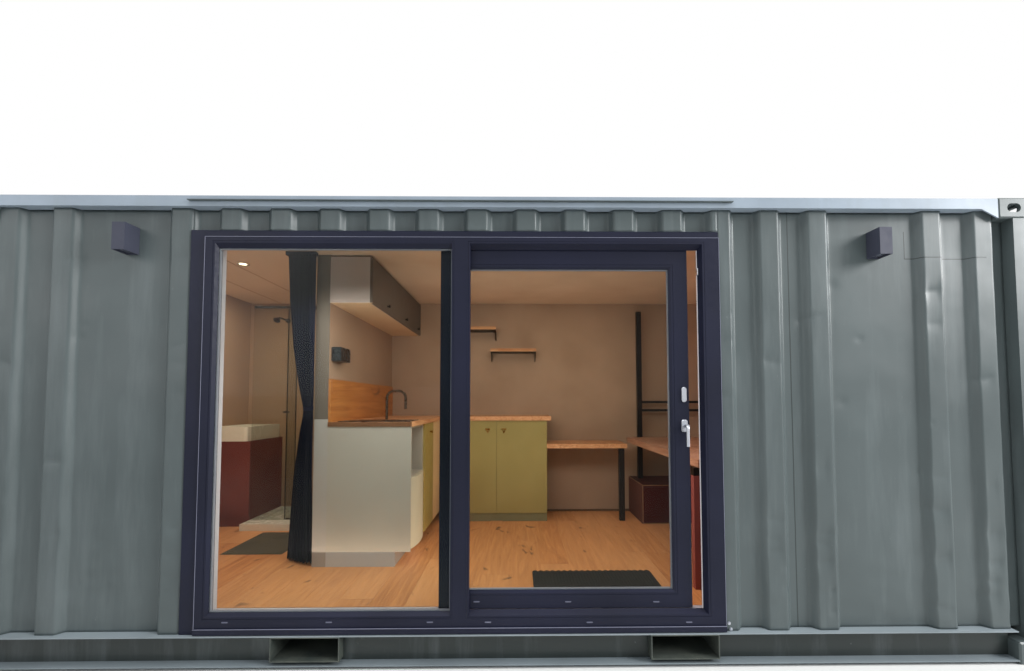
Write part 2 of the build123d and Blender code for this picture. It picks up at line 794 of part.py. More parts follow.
neck_start = leaf_face - plate_thickness - running_gap
neck_end = neck_start - neck_length
with BuildPart() as door_lever:
    with BuildSketch(Plane(origin=(lever_x, neck_start, lever_z), x_dir=(1, 0, 0), z_dir=(0, -1, 0))) as neck:
        Circle(neck_radius)
    extrude(neck.sketch, amount=neck_length)
    with BuildLine() as arm_line:
        FilletPolyline((lever_x, neck_end + lever_bend, lever_z), (lever_x, neck_end, lever_z),
                       (lever_x, neck_end, lever_z - lever_length), radius=lever_corner)
    with BuildSketch(Plane(origin=(lever_x, neck_end + lever_bend, lever_z), x_dir=(1, 0, 0),
                           z_dir=(0, -1, 0))) as arm:
        Ellipse(lever_width / 2, lever_thickness / 2)
    sweep(arm.sketch, path=arm_line.line)
save(door_lever, "door_lever")

# Trims round the window; below the sub-sill the cut-off feet of the wall's ribs still stand
with BuildPart() as sub_sill:
    block((frame_left, frame_right), (window_face - sub_sill_reach, window_back),
          (rail_top + rib_stub, frame_bottom))
    side_sheet(frame_left, frame_right, rail_top, rail_top + rib_stub, recess_face, -1)
save(sub_sill, "sub_sill")

with BuildPart() as head_flashing:
    block((frame_left, frame_right), (rib_face - flashing_reach, recess_face),
          (frame_top, frame_top + flashing_height))
    chamfer(head_flashing.edges().filter_by(Axis.X).group_by(Axis.Z)[-1].sort_by(Axis.Y)[0], flashing_reach)
save(head_flashing, "head_flashing")

with BuildPart() as side_flashing:
    block((opening_left, frame_left), (rib_face - strip_reach, wall_inside),
          (rail_top, frame_top + flashing_height))
save(side_flashing, "side_flashing")

with BuildPart() as drip_strip:
    level = top_rail_bottom + drip_lift
    with BuildSketch(Plane.YZ.offset(opening_left)) as angle_bar:
        with BuildLine():
            Polyline((flange, level + drip_thickness), (flange - drip_reach, level + drip_wall),
                     (flange - drip_reach, level), (flange, level), close=True)
        make_face()
    extrude(angle_bar.sketch, amount=frame_right + drip_overhang - opening_left)
save(drip_strip, "drip_strip")

with BuildPart() as wall_lamps:
    for x_mid, drop in ((lamp_left_x, lamp_left_drop), (lamp_right_x, lamp_right_drop)):
        z_mid = height - drop
        x_range = (x_mid - lamp_width / 2, x_mid + lamp_width / 2)
        y_range = (recess_face - lamp_depth, recess_face)
        block(x_range, y_range, (z_mid - lamp_height / 2, z_mid + lamp_height / 2))
        for z_range in ((z_mid - lamp_height / 2, z_mid - lamp_height / 2 + lamp_recess),
                        (z_mid + lamp_height / 2 - lamp_recess, z_mid + lamp_height / 2)):
            block((x_range[0] + lamp_wall, x_range[1] - lamp_wall),
                  (y_range[0] + lamp_wall, y_range[1] - lamp_wall), z_range, Mode.SUBTRACT)
save(wall_lamps, "wall_lamps")

# Room: oak planks on a raised floor, linings off the steel, ceiling and the bathroom's partition
with BuildPart() as floor_boards:
    block((room_left, room_right), (room_front, room_back), (rail_top, floor_level))
    block((frame_left, frame_right), (window_back, room_front), (rail_top, floor_level))
    joint = room_left + plank_width
    while joint < room_right:
        block((joint - plank_joint / 2, joint + plank_joint / 2), (window_back, room_back),
              (floor_level - plank_joint, floor_level), Mode.SUBTRACT)
        joint += plank_width
save(floor_boards, "floor_boards")

with BuildPart() as ceiling:
    block((room_left, room_right), (room_front, room_back), (ceiling_level, ceiling_top))
    clear_corners()
save(ceiling, "ceiling")

with BuildPart() as lining_back:
    block((room_left, room_right), (room_back, lining_back_face), (rail_top, ceiling_top))
    clear_corners()
save(lining_back, "lining_back")

with BuildPart() as lining_ends:
    for x_range in ((room_left - end_lining, room_left), (room_right, room_right + end_lining)):
        block(x_range, (lining_front, lining_back_face), (rail_top, ceiling_top))
    clear_corners()
save(lining_ends, "lining_ends")

with BuildPart() as lining_front_sides:
    for x_range in ((room_left, frame_left), (frame_right, room_right)):
        block(x_range, (lining_front, room_front), (rail_top, ceiling_top))
    clear_corners()
save(lining_front_sides, "lining_front_sides")

with BuildPart() as lining_over_window:
    block((frame_left, frame_right), (lining_front, room_front), (frame_top, ceiling_top))
save(lining_over_window, "lining_over_window")

with BuildPart() as partition_wall:
    block((partition_far, partition_x), (kitchen_front, room_back), (floor_level, ceiling_level))
save(partition_wall, "partition_wall")


def door_row(along, across, z, count, direction):
    """A row of equal door panels with a gap between them, along X or along Y."""
    step = (along[1] - along[0] + front_gap) / count
    for number in range(count):
        low = along[0] + number * step
        panel_range = (low, low + step - front_gap)
        block(panel_range if direction == "x" else across, across if direction == "x" else panel_range, z)


# Kitchen along the partition: carcass with an open nook, doors, curved drawer, worktop and splashback
with BuildPart() as kitchen_base:
    block((partition_x, kitchen_face - kick_depth), (kitchen_front, room_back), (floor_level, kick_top))
    block((partition_x, door_line), (kitchen_front, room_back), (kick_top, counter_low))
    block((door_line, kitchen_face), (kitchen_front, kitchen_front + panel), (kick_top, counter_low))
    block((partition_x + nook_back, door_line), (kitchen_front + panel, nook_end - panel),
          (nook_floor, counter_low - panel), Mode.SUBTRACT)
save(kitchen_base, "kitchen_base")

with BuildPart() as kitchen_fronts:
    door_row((nook_end, room_back - front_gap), (door_line, kitchen_face),
             (kick_top + front_gap, counter_low - front_gap), 2, "y")
    with BuildSketch(Plane.XY.offset(kick_top + front_gap)) as bulge:
        with BuildLine():
            curve_low = (door_line, kitchen_front + panel + front_gap)
            curve_high = (door_line, nook_end - front_gap)
            RadiusArc(curve_low, curve_high, -curved_front_radius)
            Line(curve_high, curve_low)
        make_face()
    extrude(bulge.sketch, amount=nook_floor - kick_top - front_gap)
save(kitchen_fronts, "kitchen_fronts")

with BuildPart() as kitchen_worktop:
    block((partition_x, kitchen_face + counter_reach), (kitchen_front - counter_front_reach, room_back),
          (counter_low, counter_top))
    fillet(kitchen_worktop.edges().filter_by(Axis.Z).group_by(Axis.X)[-1].sort_by(Axis.Y)[0], counter_corner)
save(kitchen_worktop, "kitchen_worktop")

with BuildPart() as kitchen_fittings:
    hob_y = kitchen_front + hob_offset
    block((kitchen_face - hob_inset - hob_length, kitchen_face - hob_inset), (hob_y, hob_y + hob_width),
          (counter_top, counter_top + hob_thickness))
    tap_base = (partition_x + tap_inset, kitchen_front + tap_offset, counter_top)
    tap_crown = counter_top + tap_height - tap_radius
    with BuildLine() as tap_line:
        FilletPolyline(tap_base, (tap_base[0], tap_base[1], tap_crown),
                       (tap_base[0] + tap_reach, tap_base[1], tap_crown),
                       (tap_base[0] + tap_reach, tap_base[1], tap_crown - tap_drop), radius=tap_bend)
    with BuildSketch(Plane.XY.offset(counter_top)) as tap_ring:
        with Locations((tap_base[0], tap_base[1])):
            Circle(tap_radius)
    sweep(tap_ring.sketch, path=tap_line.line)
    box_y = kitchen_front + box_offset
    box_z = floor_level + box_lift
    block((partition_x, partition_x + box_depth), (box_y, box_y + box_width), (box_z, box_z + box_height))
save(kitchen_fittings, "kitchen_fittings")

with BuildPart() as splashback:
    splash = (counter_top, counter_top + splash_height)
    block((partition_x, partition_x + panel), (kitchen_front, room_back), splash)
    block((partition_x, kitchen_face), (room_back - panel, room_back), splash)
save(splashback, "splashback")

with BuildPart() as wall_cabinet:
    cabinet_z = (ceiling_level - wall_cabinet_gap - wall_cabinet_height, ceiling_level - wall_cabinet_gap)
    cabinet_face = partition_x + wall_cabinet_depth
    block((partition_x, cabinet_face - panel - front_gap), (kitchen_front, room_back), cabinet_z)
    door_row((kitchen_front + panel + front_gap, room_back), (cabinet_face - panel - front_gap, cabinet_face),
             (cabinet_z[0] + front_gap, cabinet_z[1] - front_gap), wall_door_count, "y")
    block((cabinet_face - panel - front_gap, cabinet_face), (kitchen_front, kitchen_front + panel), cabinet_z)
    block((partition_x, cabinet_face - hanger_inset), (kitchen_front + hanger_inset, room_back),
          (cabinet_z[1], ceiling_level))
save(wall_cabinet, "wall_cabinet")

# Green cabinet with a vented plinth, desk and shelves on the back wall
with BuildPart() as green_cabinet:
    block((cabinet_left, cabinet_right), (cabinet_front + panel, room_back), (plinth_top, cabinet_low))
    block((cabinet_left, cabinet_right), (cabinet_front + plinth_recess, room_back), (floor_level, plinth_top))
    with BuildSketch(Plane.XZ.offset(-cabinet_front - plinth_recess)) as vent:
        with Locations(((cabinet_left + cabinet_right) / 2, floor_level)):
            Circle(vent_radius)
    extrude(vent.sketch, amount=-vent_depth, mode=Mode.SUBTRACT)
save(green_cabinet, "green_cabinet")

with BuildPart() as green_doors:
    door_row((cabinet_left, cabinet_right), (cabinet_front, cabinet_front + panel),
             (plinth_top + front_gap, cabinet_low - front_gap), 2, "x")
save(green_doors, "green_doors")

with BuildPart() as green_worktop:
    block((cabinet_left - cabinet_top_left, cabinet_right + cabinet_top_right),
          (cabinet_front - cabinet_top_reach, room_back), (cabinet_low, cabinet_top))
save(green_worktop, "green_worktop")

with BuildPart() as desk:
    block((cabinet_right, desk_right), (cabinet_front, room_back), (desk_low, desk_top))
save(desk, "desk")

with BuildPart() as desk_leg:
    leg_x = desk_right - desk_leg_inset - desk_leg_size
    leg_y = cabinet_front + desk_leg_back
    block((leg_x, leg_x + desk_leg_size), (leg_y, leg_y + desk_leg_size), (floor_level, desk_low))
save(desk_leg, "desk_leg")

with BuildPart() as wall_shelves:
    for start, end, level in (upper_shelf, lower_shelf):
        shelf_low = floor_level + level
        block((cabinet_left + start, cabinet_left + end), (room_back - shelf_depth, room_back),
              (shelf_low, shelf_low + shelf_thickness))
        for place in (start, end - bracket_width):
            with BuildSketch(Plane.YZ.offset(cabinet_left + place)) as bracket:
                with BuildLine():
                    Polyline((room_back, shelf_low), (room_back - bracket_reach, shelf_low),
                             (room_back, shelf_low - bracket_height), close=True)
                make_face()
            extrude(bracket.sketch, amount=bracket_width)
save(wall_shelves, "wall_shelves")

# Raised bed at the right end: slats in a frame, on a leg and the walls, and the cabinet below
with BuildPart() as bed_platform:
    block((bed_left, room_right), (bed_front, bed_back), (bed_low, bed_top))
    slat_count = int((bed_back - bed_front - 2 * bed_beam) // slat_pitch)
    for number in range(slat_count):
        gap_low = bed_front + bed_beam + number * slat_pitch
        block((bed_left + bed_beam, room_right - bed_beam), (gap_low, gap_low + slat_gap),
              (bed_top - slat_groove, bed_top), Mode.SUBTRACT)
save(bed_platform, "bed_platform")

with BuildPart() as bed_leg:
    leg_x = bed_left + bed_leg_offset
    leg_y = bed_front + bed_leg_inset
    block((leg_x, leg_x + bed_leg_size), (leg_y, leg_y + bed_leg_size), (floor_level, bed_low))
save(bed_leg, "bed_leg")

with BuildPart() as red_cabinet:
    red_x = (bed_left + under_cabinet_offset, bed_left + under_cabinet_offset + under_cabinet_width)
    red_front = room_back - under_cabinet_depth
    block(red_x, (red_front + panel, room_back), (floor_level, red_top))
    block(red_x, (red_front, room_back), (red_top - panel, red_top))
    door_row(red_x, (red_front, red_front + panel), (floor_level + front_gap, red_top - panel - front_gap), 2, "x")
save(red_cabinet, "red_cabinet")

with BuildPart() as bed_post:
    post_x = bed_left + post_offset
    post_y = room_back - post_back_gap - post_size
    block((post_x, post_x + post_size), (post_y, post_y + post_size), (red_top, floor_level + post_height))
save(bed_post, "bed_post")

with BuildPart() as bed_rail:
    rail_y = post_y + (post_size - guard_rail_size) / 2
    for level in guard_rail_heights:
        block((post_x + post_size, post_x + post_size + guard_rail_length), (rail_y, rail_y + guard_rail_size),
              (floor_level + level, floor_level + level + guard_rail_size))
save(bed_rail, "bed_rail")

# Bathroom corner at the left end, and the curtain in front of it
with BuildPart() as shower_tray:
    block((vanity_right, partition_far), (tray_front, room_back), (floor_level, tray_top))
    block((vanity_right + tray_rim, partition_far - tray_rim), (screen_back + tray_rim, room_back - tray_rim),
          (tray_top - tray_drop, tray_top), Mode.SUBTRACT)
save(shower_tray, "shower_tray")

with BuildPart() as shower_screen:
    screen_z = (tray_top, tray_top + screen_height)
    block((vanity_right, screen_door_left + screen_overlap), (screen_front, screen_front + screen_thickness), screen_z)
    block((screen_door_left, partition_far), (screen_back - screen_thickness, screen_back), screen_z)
    block((screen_door_left, screen_door_left + screen_overlap), (screen_front, screen_back),
          (screen_z[1] - screen_clamp, screen_z[1]))
save(shower_screen, "shower_screen")

with BuildPart() as vanity:
    block((room_left, vanity_right), (vanity_front + panel, room_back), (floor_level, vanity_top))
    door_row((room_left, vanity_right), (vanity_front, vanity_front + panel),
             (floor_level + kick_height, vanity_top), 1, "x")
save(vanity, "vanity")

with BuildPart() as basin:
    basin_x = (room_left, vanity_right - basin_inset)
    basin_top = vanity_top + basin_height
    block(basin_x, (vanity_front, room_back), (vanity_top, basin_top))
    fillet(basin.edges().filter_by(Axis.Z).group_by(Axis.X)[-1].sort_by(Axis.Y)[0], basin_wall)
    bowl = ((basin_x[0] + basin_wall, basin_x[1] - basin_wall), (vanity_front + basin_wall, room_back - basin_shelf))
    bowl_floor = [(low + basin_slope, high - basin_slope) for low, high in bowl]
    splayed_cut(Plane.XY, bowl, bowl_floor, basin_top, basin_top - basin_depth)
save(basin, "basin")

with BuildPart() as curtain_track:
    block((partition_far - track_start, partition_far - track_end),
          (curtain_line - curtain_track_width / 2, curtain_line + curtain_track_width / 2),
          (track_low, ceiling_level))
save(curtain_track, "curtain_track")

with BuildPart() as curtain:
    hem = floor_level + curtain_floor_gap
    drop = track_low - curtain_gap - hem
    for share, x_shift, y_shift, x_size, y_size in curtain_shape:
        with BuildSketch(Plane.XY.offset(hem + share * drop)):
            with Locations((partition_far + x_shift, kitchen_front + y_shift)):
                Ellipse(x_size / 2, y_size / 2)
    loft(ruled=True)
save(curtain, "curtain")
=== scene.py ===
import math
import random

import bmesh
import bpy
from mathutils import Matrix, Vector, noise


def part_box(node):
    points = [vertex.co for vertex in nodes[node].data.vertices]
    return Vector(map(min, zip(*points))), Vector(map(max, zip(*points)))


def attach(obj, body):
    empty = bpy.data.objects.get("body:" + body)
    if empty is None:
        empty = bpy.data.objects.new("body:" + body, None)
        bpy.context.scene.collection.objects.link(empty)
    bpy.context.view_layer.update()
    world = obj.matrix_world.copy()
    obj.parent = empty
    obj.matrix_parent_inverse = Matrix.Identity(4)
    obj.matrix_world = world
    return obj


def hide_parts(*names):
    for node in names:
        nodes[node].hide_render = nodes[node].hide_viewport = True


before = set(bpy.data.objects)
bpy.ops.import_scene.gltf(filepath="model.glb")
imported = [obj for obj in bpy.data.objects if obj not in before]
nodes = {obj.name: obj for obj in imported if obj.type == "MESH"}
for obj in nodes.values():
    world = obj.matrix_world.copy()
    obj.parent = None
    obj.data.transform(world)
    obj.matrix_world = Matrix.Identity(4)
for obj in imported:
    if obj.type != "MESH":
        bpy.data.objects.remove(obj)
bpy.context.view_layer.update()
scene = bpy.context.scene

# Places are in metres in the row frame: X along the cabin, -Y out of the window wall, Z up.
X, Y, Z = range(3)


def low_of(node, axis):
    """Where a CAD node starts along an axis."""
    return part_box(node)[0][axis]


def high_of(node, axis):
    """Where a CAD node ends along an axis."""
    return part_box(node)[1][axis]


flange = low_of("bottom_side_rails", Y)


def inward(depth):
    """Row Y of a place this many metres behind the bottom rail's outer flange."""
    return flange + depth


def thousandths(rows):
    """Rows of numbers that are written in thousandths, such as millimetres."""
    return [tuple(value / 1000 for value in row) for row in rows]


# Camera, as the photograph was taken: height, distance and lens fitted to the container's own sizes
EYE = (0.1173, inward(-2.5112), 1.4276)
FOCAL_LENGTH = 16.008
SENSOR_WIDTH = 36.0
PITCH_UP = 0.0452
YAW_RIGHT = 0.0116
ROLL = -0.0011
SHIFT_X = -0.01058
SHIFT_Y = 0.04548


def add_camera():
    data = bpy.data.cameras.new("photo_camera")
    data.lens = FOCAL_LENGTH
    data.sensor_width = SENSOR_WIDTH
    data.shift_x = SHIFT_X
    data.shift_y = SHIFT_Y
    data.clip_end = 200.0
    camera = bpy.data.objects.new("photo_camera", data)
    turn = (
        Matrix.Rotation(-YAW_RIGHT, 4, "Z")
        @ Matrix.Rotation(math.pi / 2 + PITCH_UP, 4, "X")
        @ Matrix.Rotation(ROLL, 4, "Z")
    )
    camera.matrix_world = Matrix.Translation(EYE) @ turn
    scene.collection.objects.link(camera)
    scene.camera = camera


# Places that the finishes need
SEAM_X = 1.678  # upright weld in the right wall
SEAM_WIDTH = 0.003
PATCH = (2.358, 2.256, 2.799)  # welded patch plate: left, bottom and right edge
PATCH_HEIGHT = 0.16
STRIP_START = inward(1.566)  # pale far strip of the kitchen's fronts
DOOR_START = inward(1.209)  # where the kitchen's open shelf ends and its doors begin
PLANK_WIDTH = 0.2
PLANK_LENGTH = 1.9
PLANK_JOINT = 0.0016
CEILING_SEAMS = (-2.045, -2.400)
JOINT_REACH = 0.004
floor_start = low_of("floor_boards", X)
counter_level = high_of("kitchen_worktop", Z)
TAP_RANGE = (counter_level + 0.008, counter_level + 0.40)
PALE_FRAME_START = high_of("fixed_pane", Y) + 0.012
PALE_LEAF_START = (low_of("leaf_frame", Y) + high_of("leaf_frame", Y)) / 2 + 0.010
SHELVES = (1.951, 2.177)  # undersides of the wall shelves
BRACKET_DROP = 0.12
SKIN = 0.002  # just behind a face, so that only that face is painted
CLAMP_HEIGHT = 0.024
MIRROR_TINT = (0.3, 0.3, 0.3, 1.0)
WALL_PAINT = (168, 138, 114)
WHITE = (1.0, 1.0, 1.0)


# Finishes
def srgb(colour):
    """A colour written as it shows on screen, 0 to 255, as the linear values that shaders take."""
    values = []
    for level in colour:
        share = level / 255
        values.append(share / 12.92 if share <= 0.04045 else ((share + 0.055) / 1.055) ** 2.4)
    return (*values, 1.0)


def scaled(colour, share):
    return tuple(int(level * share) for level in colour)


def fill(node, **values):
    """Set a node's inputs by name, where a low line stands for a space."""
    for name, value in values.items():
        node.inputs[name.replace("_", " ")].default_value = value


class Finish:
    """A material being made, with short calls for its nodes. Colours are levels from 0 to 255."""

    def __init__(self, colour, roughness=0.5, metallic=0.0, specular=0.5):
        self.material = bpy.data.materials.new("finish")
        self.material.use_nodes = True
        self.tree = self.material.node_tree
        self.shader = self.tree.nodes["Principled BSDF"]
        fill(self.shader, Base_Color=srgb(colour), Roughness=roughness, Metallic=metallic,
             Specular_IOR_Level=specular)
        self.coordinates = self.node("ShaderNodeTexCoord").outputs["Object"]

    def node(self, kind, **settings):
        made = self.tree.nodes.new(kind)
        for name, value in settings.items():
            setattr(made, name, value)
        return made

    def link(self, source, target):
        self.tree.links.new(source, target)

    def feed(self, value, target):
        """Link another node's output, or set a number or a colour."""
        if isinstance(value, bpy.types.NodeSocket):
            self.link(value, target)
        else:
            target.default_value = srgb(value) if isinstance(value, tuple) else value

    def noise(self, size, stretch=(1, 1, 1), detail=4.0, rough=0.5, distortion=0.0, vector=None):
        """Noise from 0 to 1 with features of about size metres, in the object or over a vector."""
        if vector is None:
            mapping = self.node("ShaderNodeMapping")
            fill(mapping, Scale=stretch)
            self.link(self.coordinates, mapping.inputs["Vector"])
            vector = mapping.outputs["Vector"]
        made = self.node("ShaderNodeTexNoise")
        fill(made, Scale=1 / size, Detail=detail, Roughness=rough, Distortion=distortion)
        self.link(vector, made.inputs["Vector"])
        return made.outputs["Fac"]

    def ramp(self, source, *stops):
        """A share from 0 to 1 turned into another by two stops of (place, level)."""
        made = self.node("ShaderNodeMapRange")
        (low, low_level), (high, high_level) = stops
        fill(made, From_Min=low, From_Max=high, To_Min=low_level, To_Max=high_level)
        self.link(source, made.inputs["Value"])
        return made.outputs["Result"]

    def cloud(self, size, low=0.0, high=1.0, detail=5):
        """A share that drifts from low to high in soft patches of about size metres."""
        return self.ramp(self.noise(size, detail=detail), (0.3, low), (0.7, high))

    def mix(self, share, low, high):
        """One colour turning into another as share goes from 0 to 1."""
        made = self.node("ShaderNodeMix", data_type="RGBA")
        self.feed(share, made.inputs["Factor"])
        self.feed(low, made.inputs[6])
        self.feed(high, made.inputs[7])
        return made.outputs[2]

    def blend(self, share, low, high):
        """One shader node turning into another as share goes from 0 to 1."""
        made = self.node("ShaderNodeMixShader")
        for source, socket in zip((share, low.outputs[0], high.outputs[0]), made.inputs):
            self.link(source, socket)
        return made

    def math(self, operation, first, second=0.0):
        made = self.node("ShaderNodeMath", operation=operation)
        self.feed(first, made.inputs[0])
        self.feed(second, made.inputs[1])
        return made.outputs[0]

    def vector(self, *values):
        made = self.node("ShaderNodeCombineXYZ")
        for value, socket in zip(values, made.inputs):
            self.feed(value, socket)
        return made.outputs[0]

    def place(self, axis):
        """The object's own coordinate along the axis called X, Y or Z."""
        made = self.node("ShaderNodeSeparateXYZ")
        self.link(self.coordinates, made.inputs[0])
        return made.outputs[axis]

    def beyond(self, way, level):
        """1 past a level in a direction such as +Z or -X, and 0 before it."""
        operation = "GREATER_THAN" if way[0] == "+" else "LESS_THAN"
        return self.math(operation, self.place(way[1]), level)

    def near(self, value, level, reach):
        """1 within a reach of a level, and 0 elsewhere."""
        away = self.math("ABSOLUTE", self.math("SUBTRACT", value, level))
        return self.math("LESS_THAN", away, reach)

    def between(self, value, low, high):
        """1 between two levels, and 0 elsewhere."""
        return self.near(value, (low + high) / 2, (high - low) / 2)

    def painted(self, tone, parts):
        """A tone with parts over it: (colour, direction, level) or (colour, axis, low, high)."""
        for colour, way, *levels in parts:
            if len(levels) == 2:
                share = self.between(self.place(way), *levels)
            else:
                share = self.beyond(way, *levels)
            tone = self.mix(share, tone, colour)
        return tone

    def random(self, first, second):
        """An even random share for each pair of whole numbers."""
        made = self.node("ShaderNodeTexWhiteNoise", noise_dimensions="3D")
        self.link(self.vector(first, second), made.inputs["Vector"])
        return made.outputs["Value"]

    def colour(self, source):
        self.link(source, self.shader.inputs["Base Color"])

    def rough(self, source):
        self.link(source, self.shader.inputs["Roughness"])

    def bump(self, height, distance, strength=1.0):
        """Relief from a height of 0 to 1, where 1 stands distance metres proud. Calls add up."""
        made = self.node("ShaderNodeBump")
        fill(made, Distance=distance, Strength=strength)
        self.link(height, made.inputs["Height"])
        before = self.shader.inputs["Normal"].links
        if before:
            self.link(before[0].from_socket, made.inputs["Normal"])
        self.link(made.outputs["Normal"], self.shader.inputs["Normal"])

    def grain(self, size, relief, strength=0.6, detail=2):
        """Relief with features of about size metres."""
        self.bump(self.noise(size, detail=detail), relief, strength)

    def coat(self, roughness, grain=0.0015, relief=0.00006):
        """The slightly uneven gloss and the fine grain of a coat of paint."""
        self.rough(self.cloud(0.05, roughness - 0.06, roughness + 0.06))
        self.grain(grain, relief)


def shell_paint(seams=False, paint=(90, 100, 101), parts=()):
    """Grey-green container paint: cloudy, slightly wavy, with streaks and small pale rubs."""
    made = Finish(paint, 0.36, specular=0.4)
    tone = made.painted(paint, parts)
    tone = made.mix(made.cloud(0.55, 0.22, 0.0), tone, (50, 56, 56))
    streaks = made.noise(0.12, stretch=(1, 1, 0.12), detail=6, rough=0.6)
    tone = made.mix(made.ramp(streaks, (0.5, 0), (0.8, 0.3)), tone, (136, 146, 148))
    rubs = made.noise(0.028, stretch=(1, 1, 0.6), detail=8, rough=0.7)
    tone = made.mix(made.ramp(rubs, (0.68, 0), (0.76, 0.5)), tone, (150, 158, 160))
    if seams:
        x, z = made.place("X"), made.place("Z")
        left, bottom, right = PATCH
        sill = made.math("MULTIPLY", made.between(x, left - SEAM_WIDTH, right + SEAM_WIDTH),
                         made.near(z, bottom, SEAM_WIDTH))
        side = made.math("MULTIPLY", made.near(x, left, SEAM_WIDTH),
                         made.between(z, bottom, bottom + PATCH_HEIGHT))
        lines = made.math("MAXIMUM", made.near(x, SEAM_X, SEAM_WIDTH), made.math("MAXIMUM", sill, side))
        tone = made.mix(lines, tone, (58, 66, 66))
        made.bump(lines, 0.0015)
    made.colour(tone)
    made.rough(made.cloud(0.3, 0.28, 0.46, detail=6))
    made.grain(0.25, 0.004)
    made.grain(0.006, 0.00015, 0.5)
    return made.material


def dark_steel():
    """The same paint on the underframe, dusty and darker."""
    made = Finish((62, 70, 66), 0.6)
    dust = made.noise(0.2, detail=6, rough=0.65)
    made.colour(made.mix(made.ramp(dust, (0.35, 0), (0.75, 1)), (52, 60, 57), (92, 96, 88)))
    made.grain(0.01, 0.0004, detail=3)
    return made.material


def frame_paint(pale_start=None):
    """Powder-coated anthracite window profiles, pale on the room's side if asked."""
    made = Finish((26, 29, 47), 0.42, specular=0.22)
    tone = made.mix(made.cloud(0.4, detail=4), (23, 26, 43), (29, 32, 52))
    if pale_start is not None:
        tone = made.mix(made.beyond("+Y", pale_start), tone, (206, 198, 204))
    made.colour(tone)
    made.rough(made.cloud(0.02, 0.36, 0.5, detail=6))
    made.grain(0.0012, 0.00004)
    return made.material


def plain_paint(colour, roughness=0.5, grain=0.0015, relief=0.00006, spread=6, specular=0.4):
    """An even coat of paint or lacquer with a slight cloud and a fine grain."""
    made = Finish(colour, roughness, specular=specular)
    dark = tuple(max(0, level - spread) for level in colour)
    light = tuple(min(255, level + spread) for level in colour)
    made.colour(made.mix(made.cloud(0.35), dark, light))
    made.coat(roughness, grain, relief)
    return made.material


def split_paint(base, parts, roughness=0.5, specular=0.25):
    """Lacquer in several colours: the base, and those of the parts."""
    made = Finish(base, roughness, specular=specular)
    made.colour(made.mix(made.cloud(0.35, high=0.1), made.painted(base, parts), (20, 18, 14)))
    made.coat(roughness)
    return made.material


def metal(colour, roughness):
    made = Finish(colour, roughness, metallic=1.0)
    made.rough(made.cloud(0.03, max(0.03, roughness - 0.06), roughness + 0.08))
    return made.material


def wood(dark, pale, along=(1, 0.07, 1), ring=0.03, knots=0.0, parts=()):
    """Sawn oak: long grain along one axis, growth bands, pores and, where asked, a few knots."""
    made = Finish(pale, 0.42, specular=0.35)
    bands = made.noise(ring, stretch=along, detail=3, distortion=1.6)
    fibre = made.noise(ring * 0.12, stretch=along, detail=6, rough=0.7)
    tone = made.mix(made.ramp(bands, (0.32, 0), (0.7, 1)), dark, pale)
    tone = made.mix(made.ramp(fibre, (0.58, 0), (0.8, 0.45)), tone, scaled(dark, 0.72))
    if knots:
        spots = made.noise(0.16, stretch=(1, 0.45, 1), detail=3, rough=0.55, distortion=0.8)
        tone = made.mix(made.ramp(spots, (0.69, 0), (0.76, knots)), tone, (70, 42, 26))
    made.colour(made.painted(tone, parts))
    made.bump(fibre, 0.00025, 0.5)
    return made.material


def plank_floor():
    """Oak planks laid front to back: each board has its own tone, grain, knots and end joints."""
    made = Finish((190, 122, 70), 0.42, specular=0.3)
    x, y = made.place("X"), made.place("Y")
    row = made.math("FLOOR", made.math("DIVIDE", made.math("SUBTRACT", x, floor_start), PLANK_WIDTH))
    shift = made.math("MULTIPLY", made.random(row, 3.0), PLANK_LENGTH)
    along = made.math("DIVIDE", made.math("ADD", y, shift), PLANK_LENGTH)
    board = made.random(row, made.math("FLOOR", along))
    joint = made.near(made.math("FRACT", along), 0.0, PLANK_JOINT / PLANK_LENGTH)
    grain = made.vector(x, made.math("MULTIPLY", y, 0.07), made.math("MULTIPLY", board, 9.0))
    bands = made.noise(0.045, detail=3, distortion=1.8, vector=grain)
    fibre = made.noise(0.005, detail=5, rough=0.65, vector=grain)
    tone = made.mix(made.ramp(bands, (0.3, 0), (0.72, 1)), (180, 114, 66), (222, 152, 94))
    tone = made.mix(made.ramp(board, (0.0, 0.0), (1.0, 0.55)), tone, (240, 178, 122))
    tone = made.mix(made.ramp(fibre, (0.56, 0), (0.8, 0.4)), tone, (130, 78, 42))
    spots = made.vector(x, made.math("MULTIPLY", y, 0.5), made.math("MULTIPLY", board, 5.0))
    knots = made.noise(0.11, detail=2, distortion=0.9, vector=spots)
    tone = made.mix(made.ramp(knots, (0.67, 0), (0.75, 0.8)), tone, (78, 46, 28))
    made.colour(made.mix(joint, tone, (70, 44, 28)))
    made.rough(made.ramp(fibre, (0.3, 0.36), (0.7, 0.5)))
    made.bump(fibre, 0.0002, 0.5)
    return made.material


def ceiling_paint():
    """Warm painted boards, with the open joints between the boards over the bathroom."""
    made = Finish((222, 196, 170), 0.75, specular=0.2)
    tone = made.mix(made.cloud(0.35), (216, 190, 164), (227, 201, 175))
    joints = [made.near(made.place("X"), seam, JOINT_REACH) for seam in CEILING_SEAMS]
    made.colour(made.mix(made.math("MAXIMUM", *joints), tone, (120, 96, 70)))
    made.grain(0.004, 0.0002)
    return made.material


def fittings_coat():
    """Black hob and control box, and between them in height the brushed steel tap."""
    made = Finish((24, 24, 26), 0.35)
    steel = made.between(made.place("Z"), *TAP_RANGE)
    smear = made.cloud(0.03)
    made.colour(made.mix(steel, made.mix(smear, (20, 20, 22), (30, 30, 33)), (112, 100, 90)))
    made.link(steel, made.shader.inputs["Metallic"])
    made.rough(made.ramp(smear, (0.0, 0.22), (1.0, 0.34)))
    return made.material


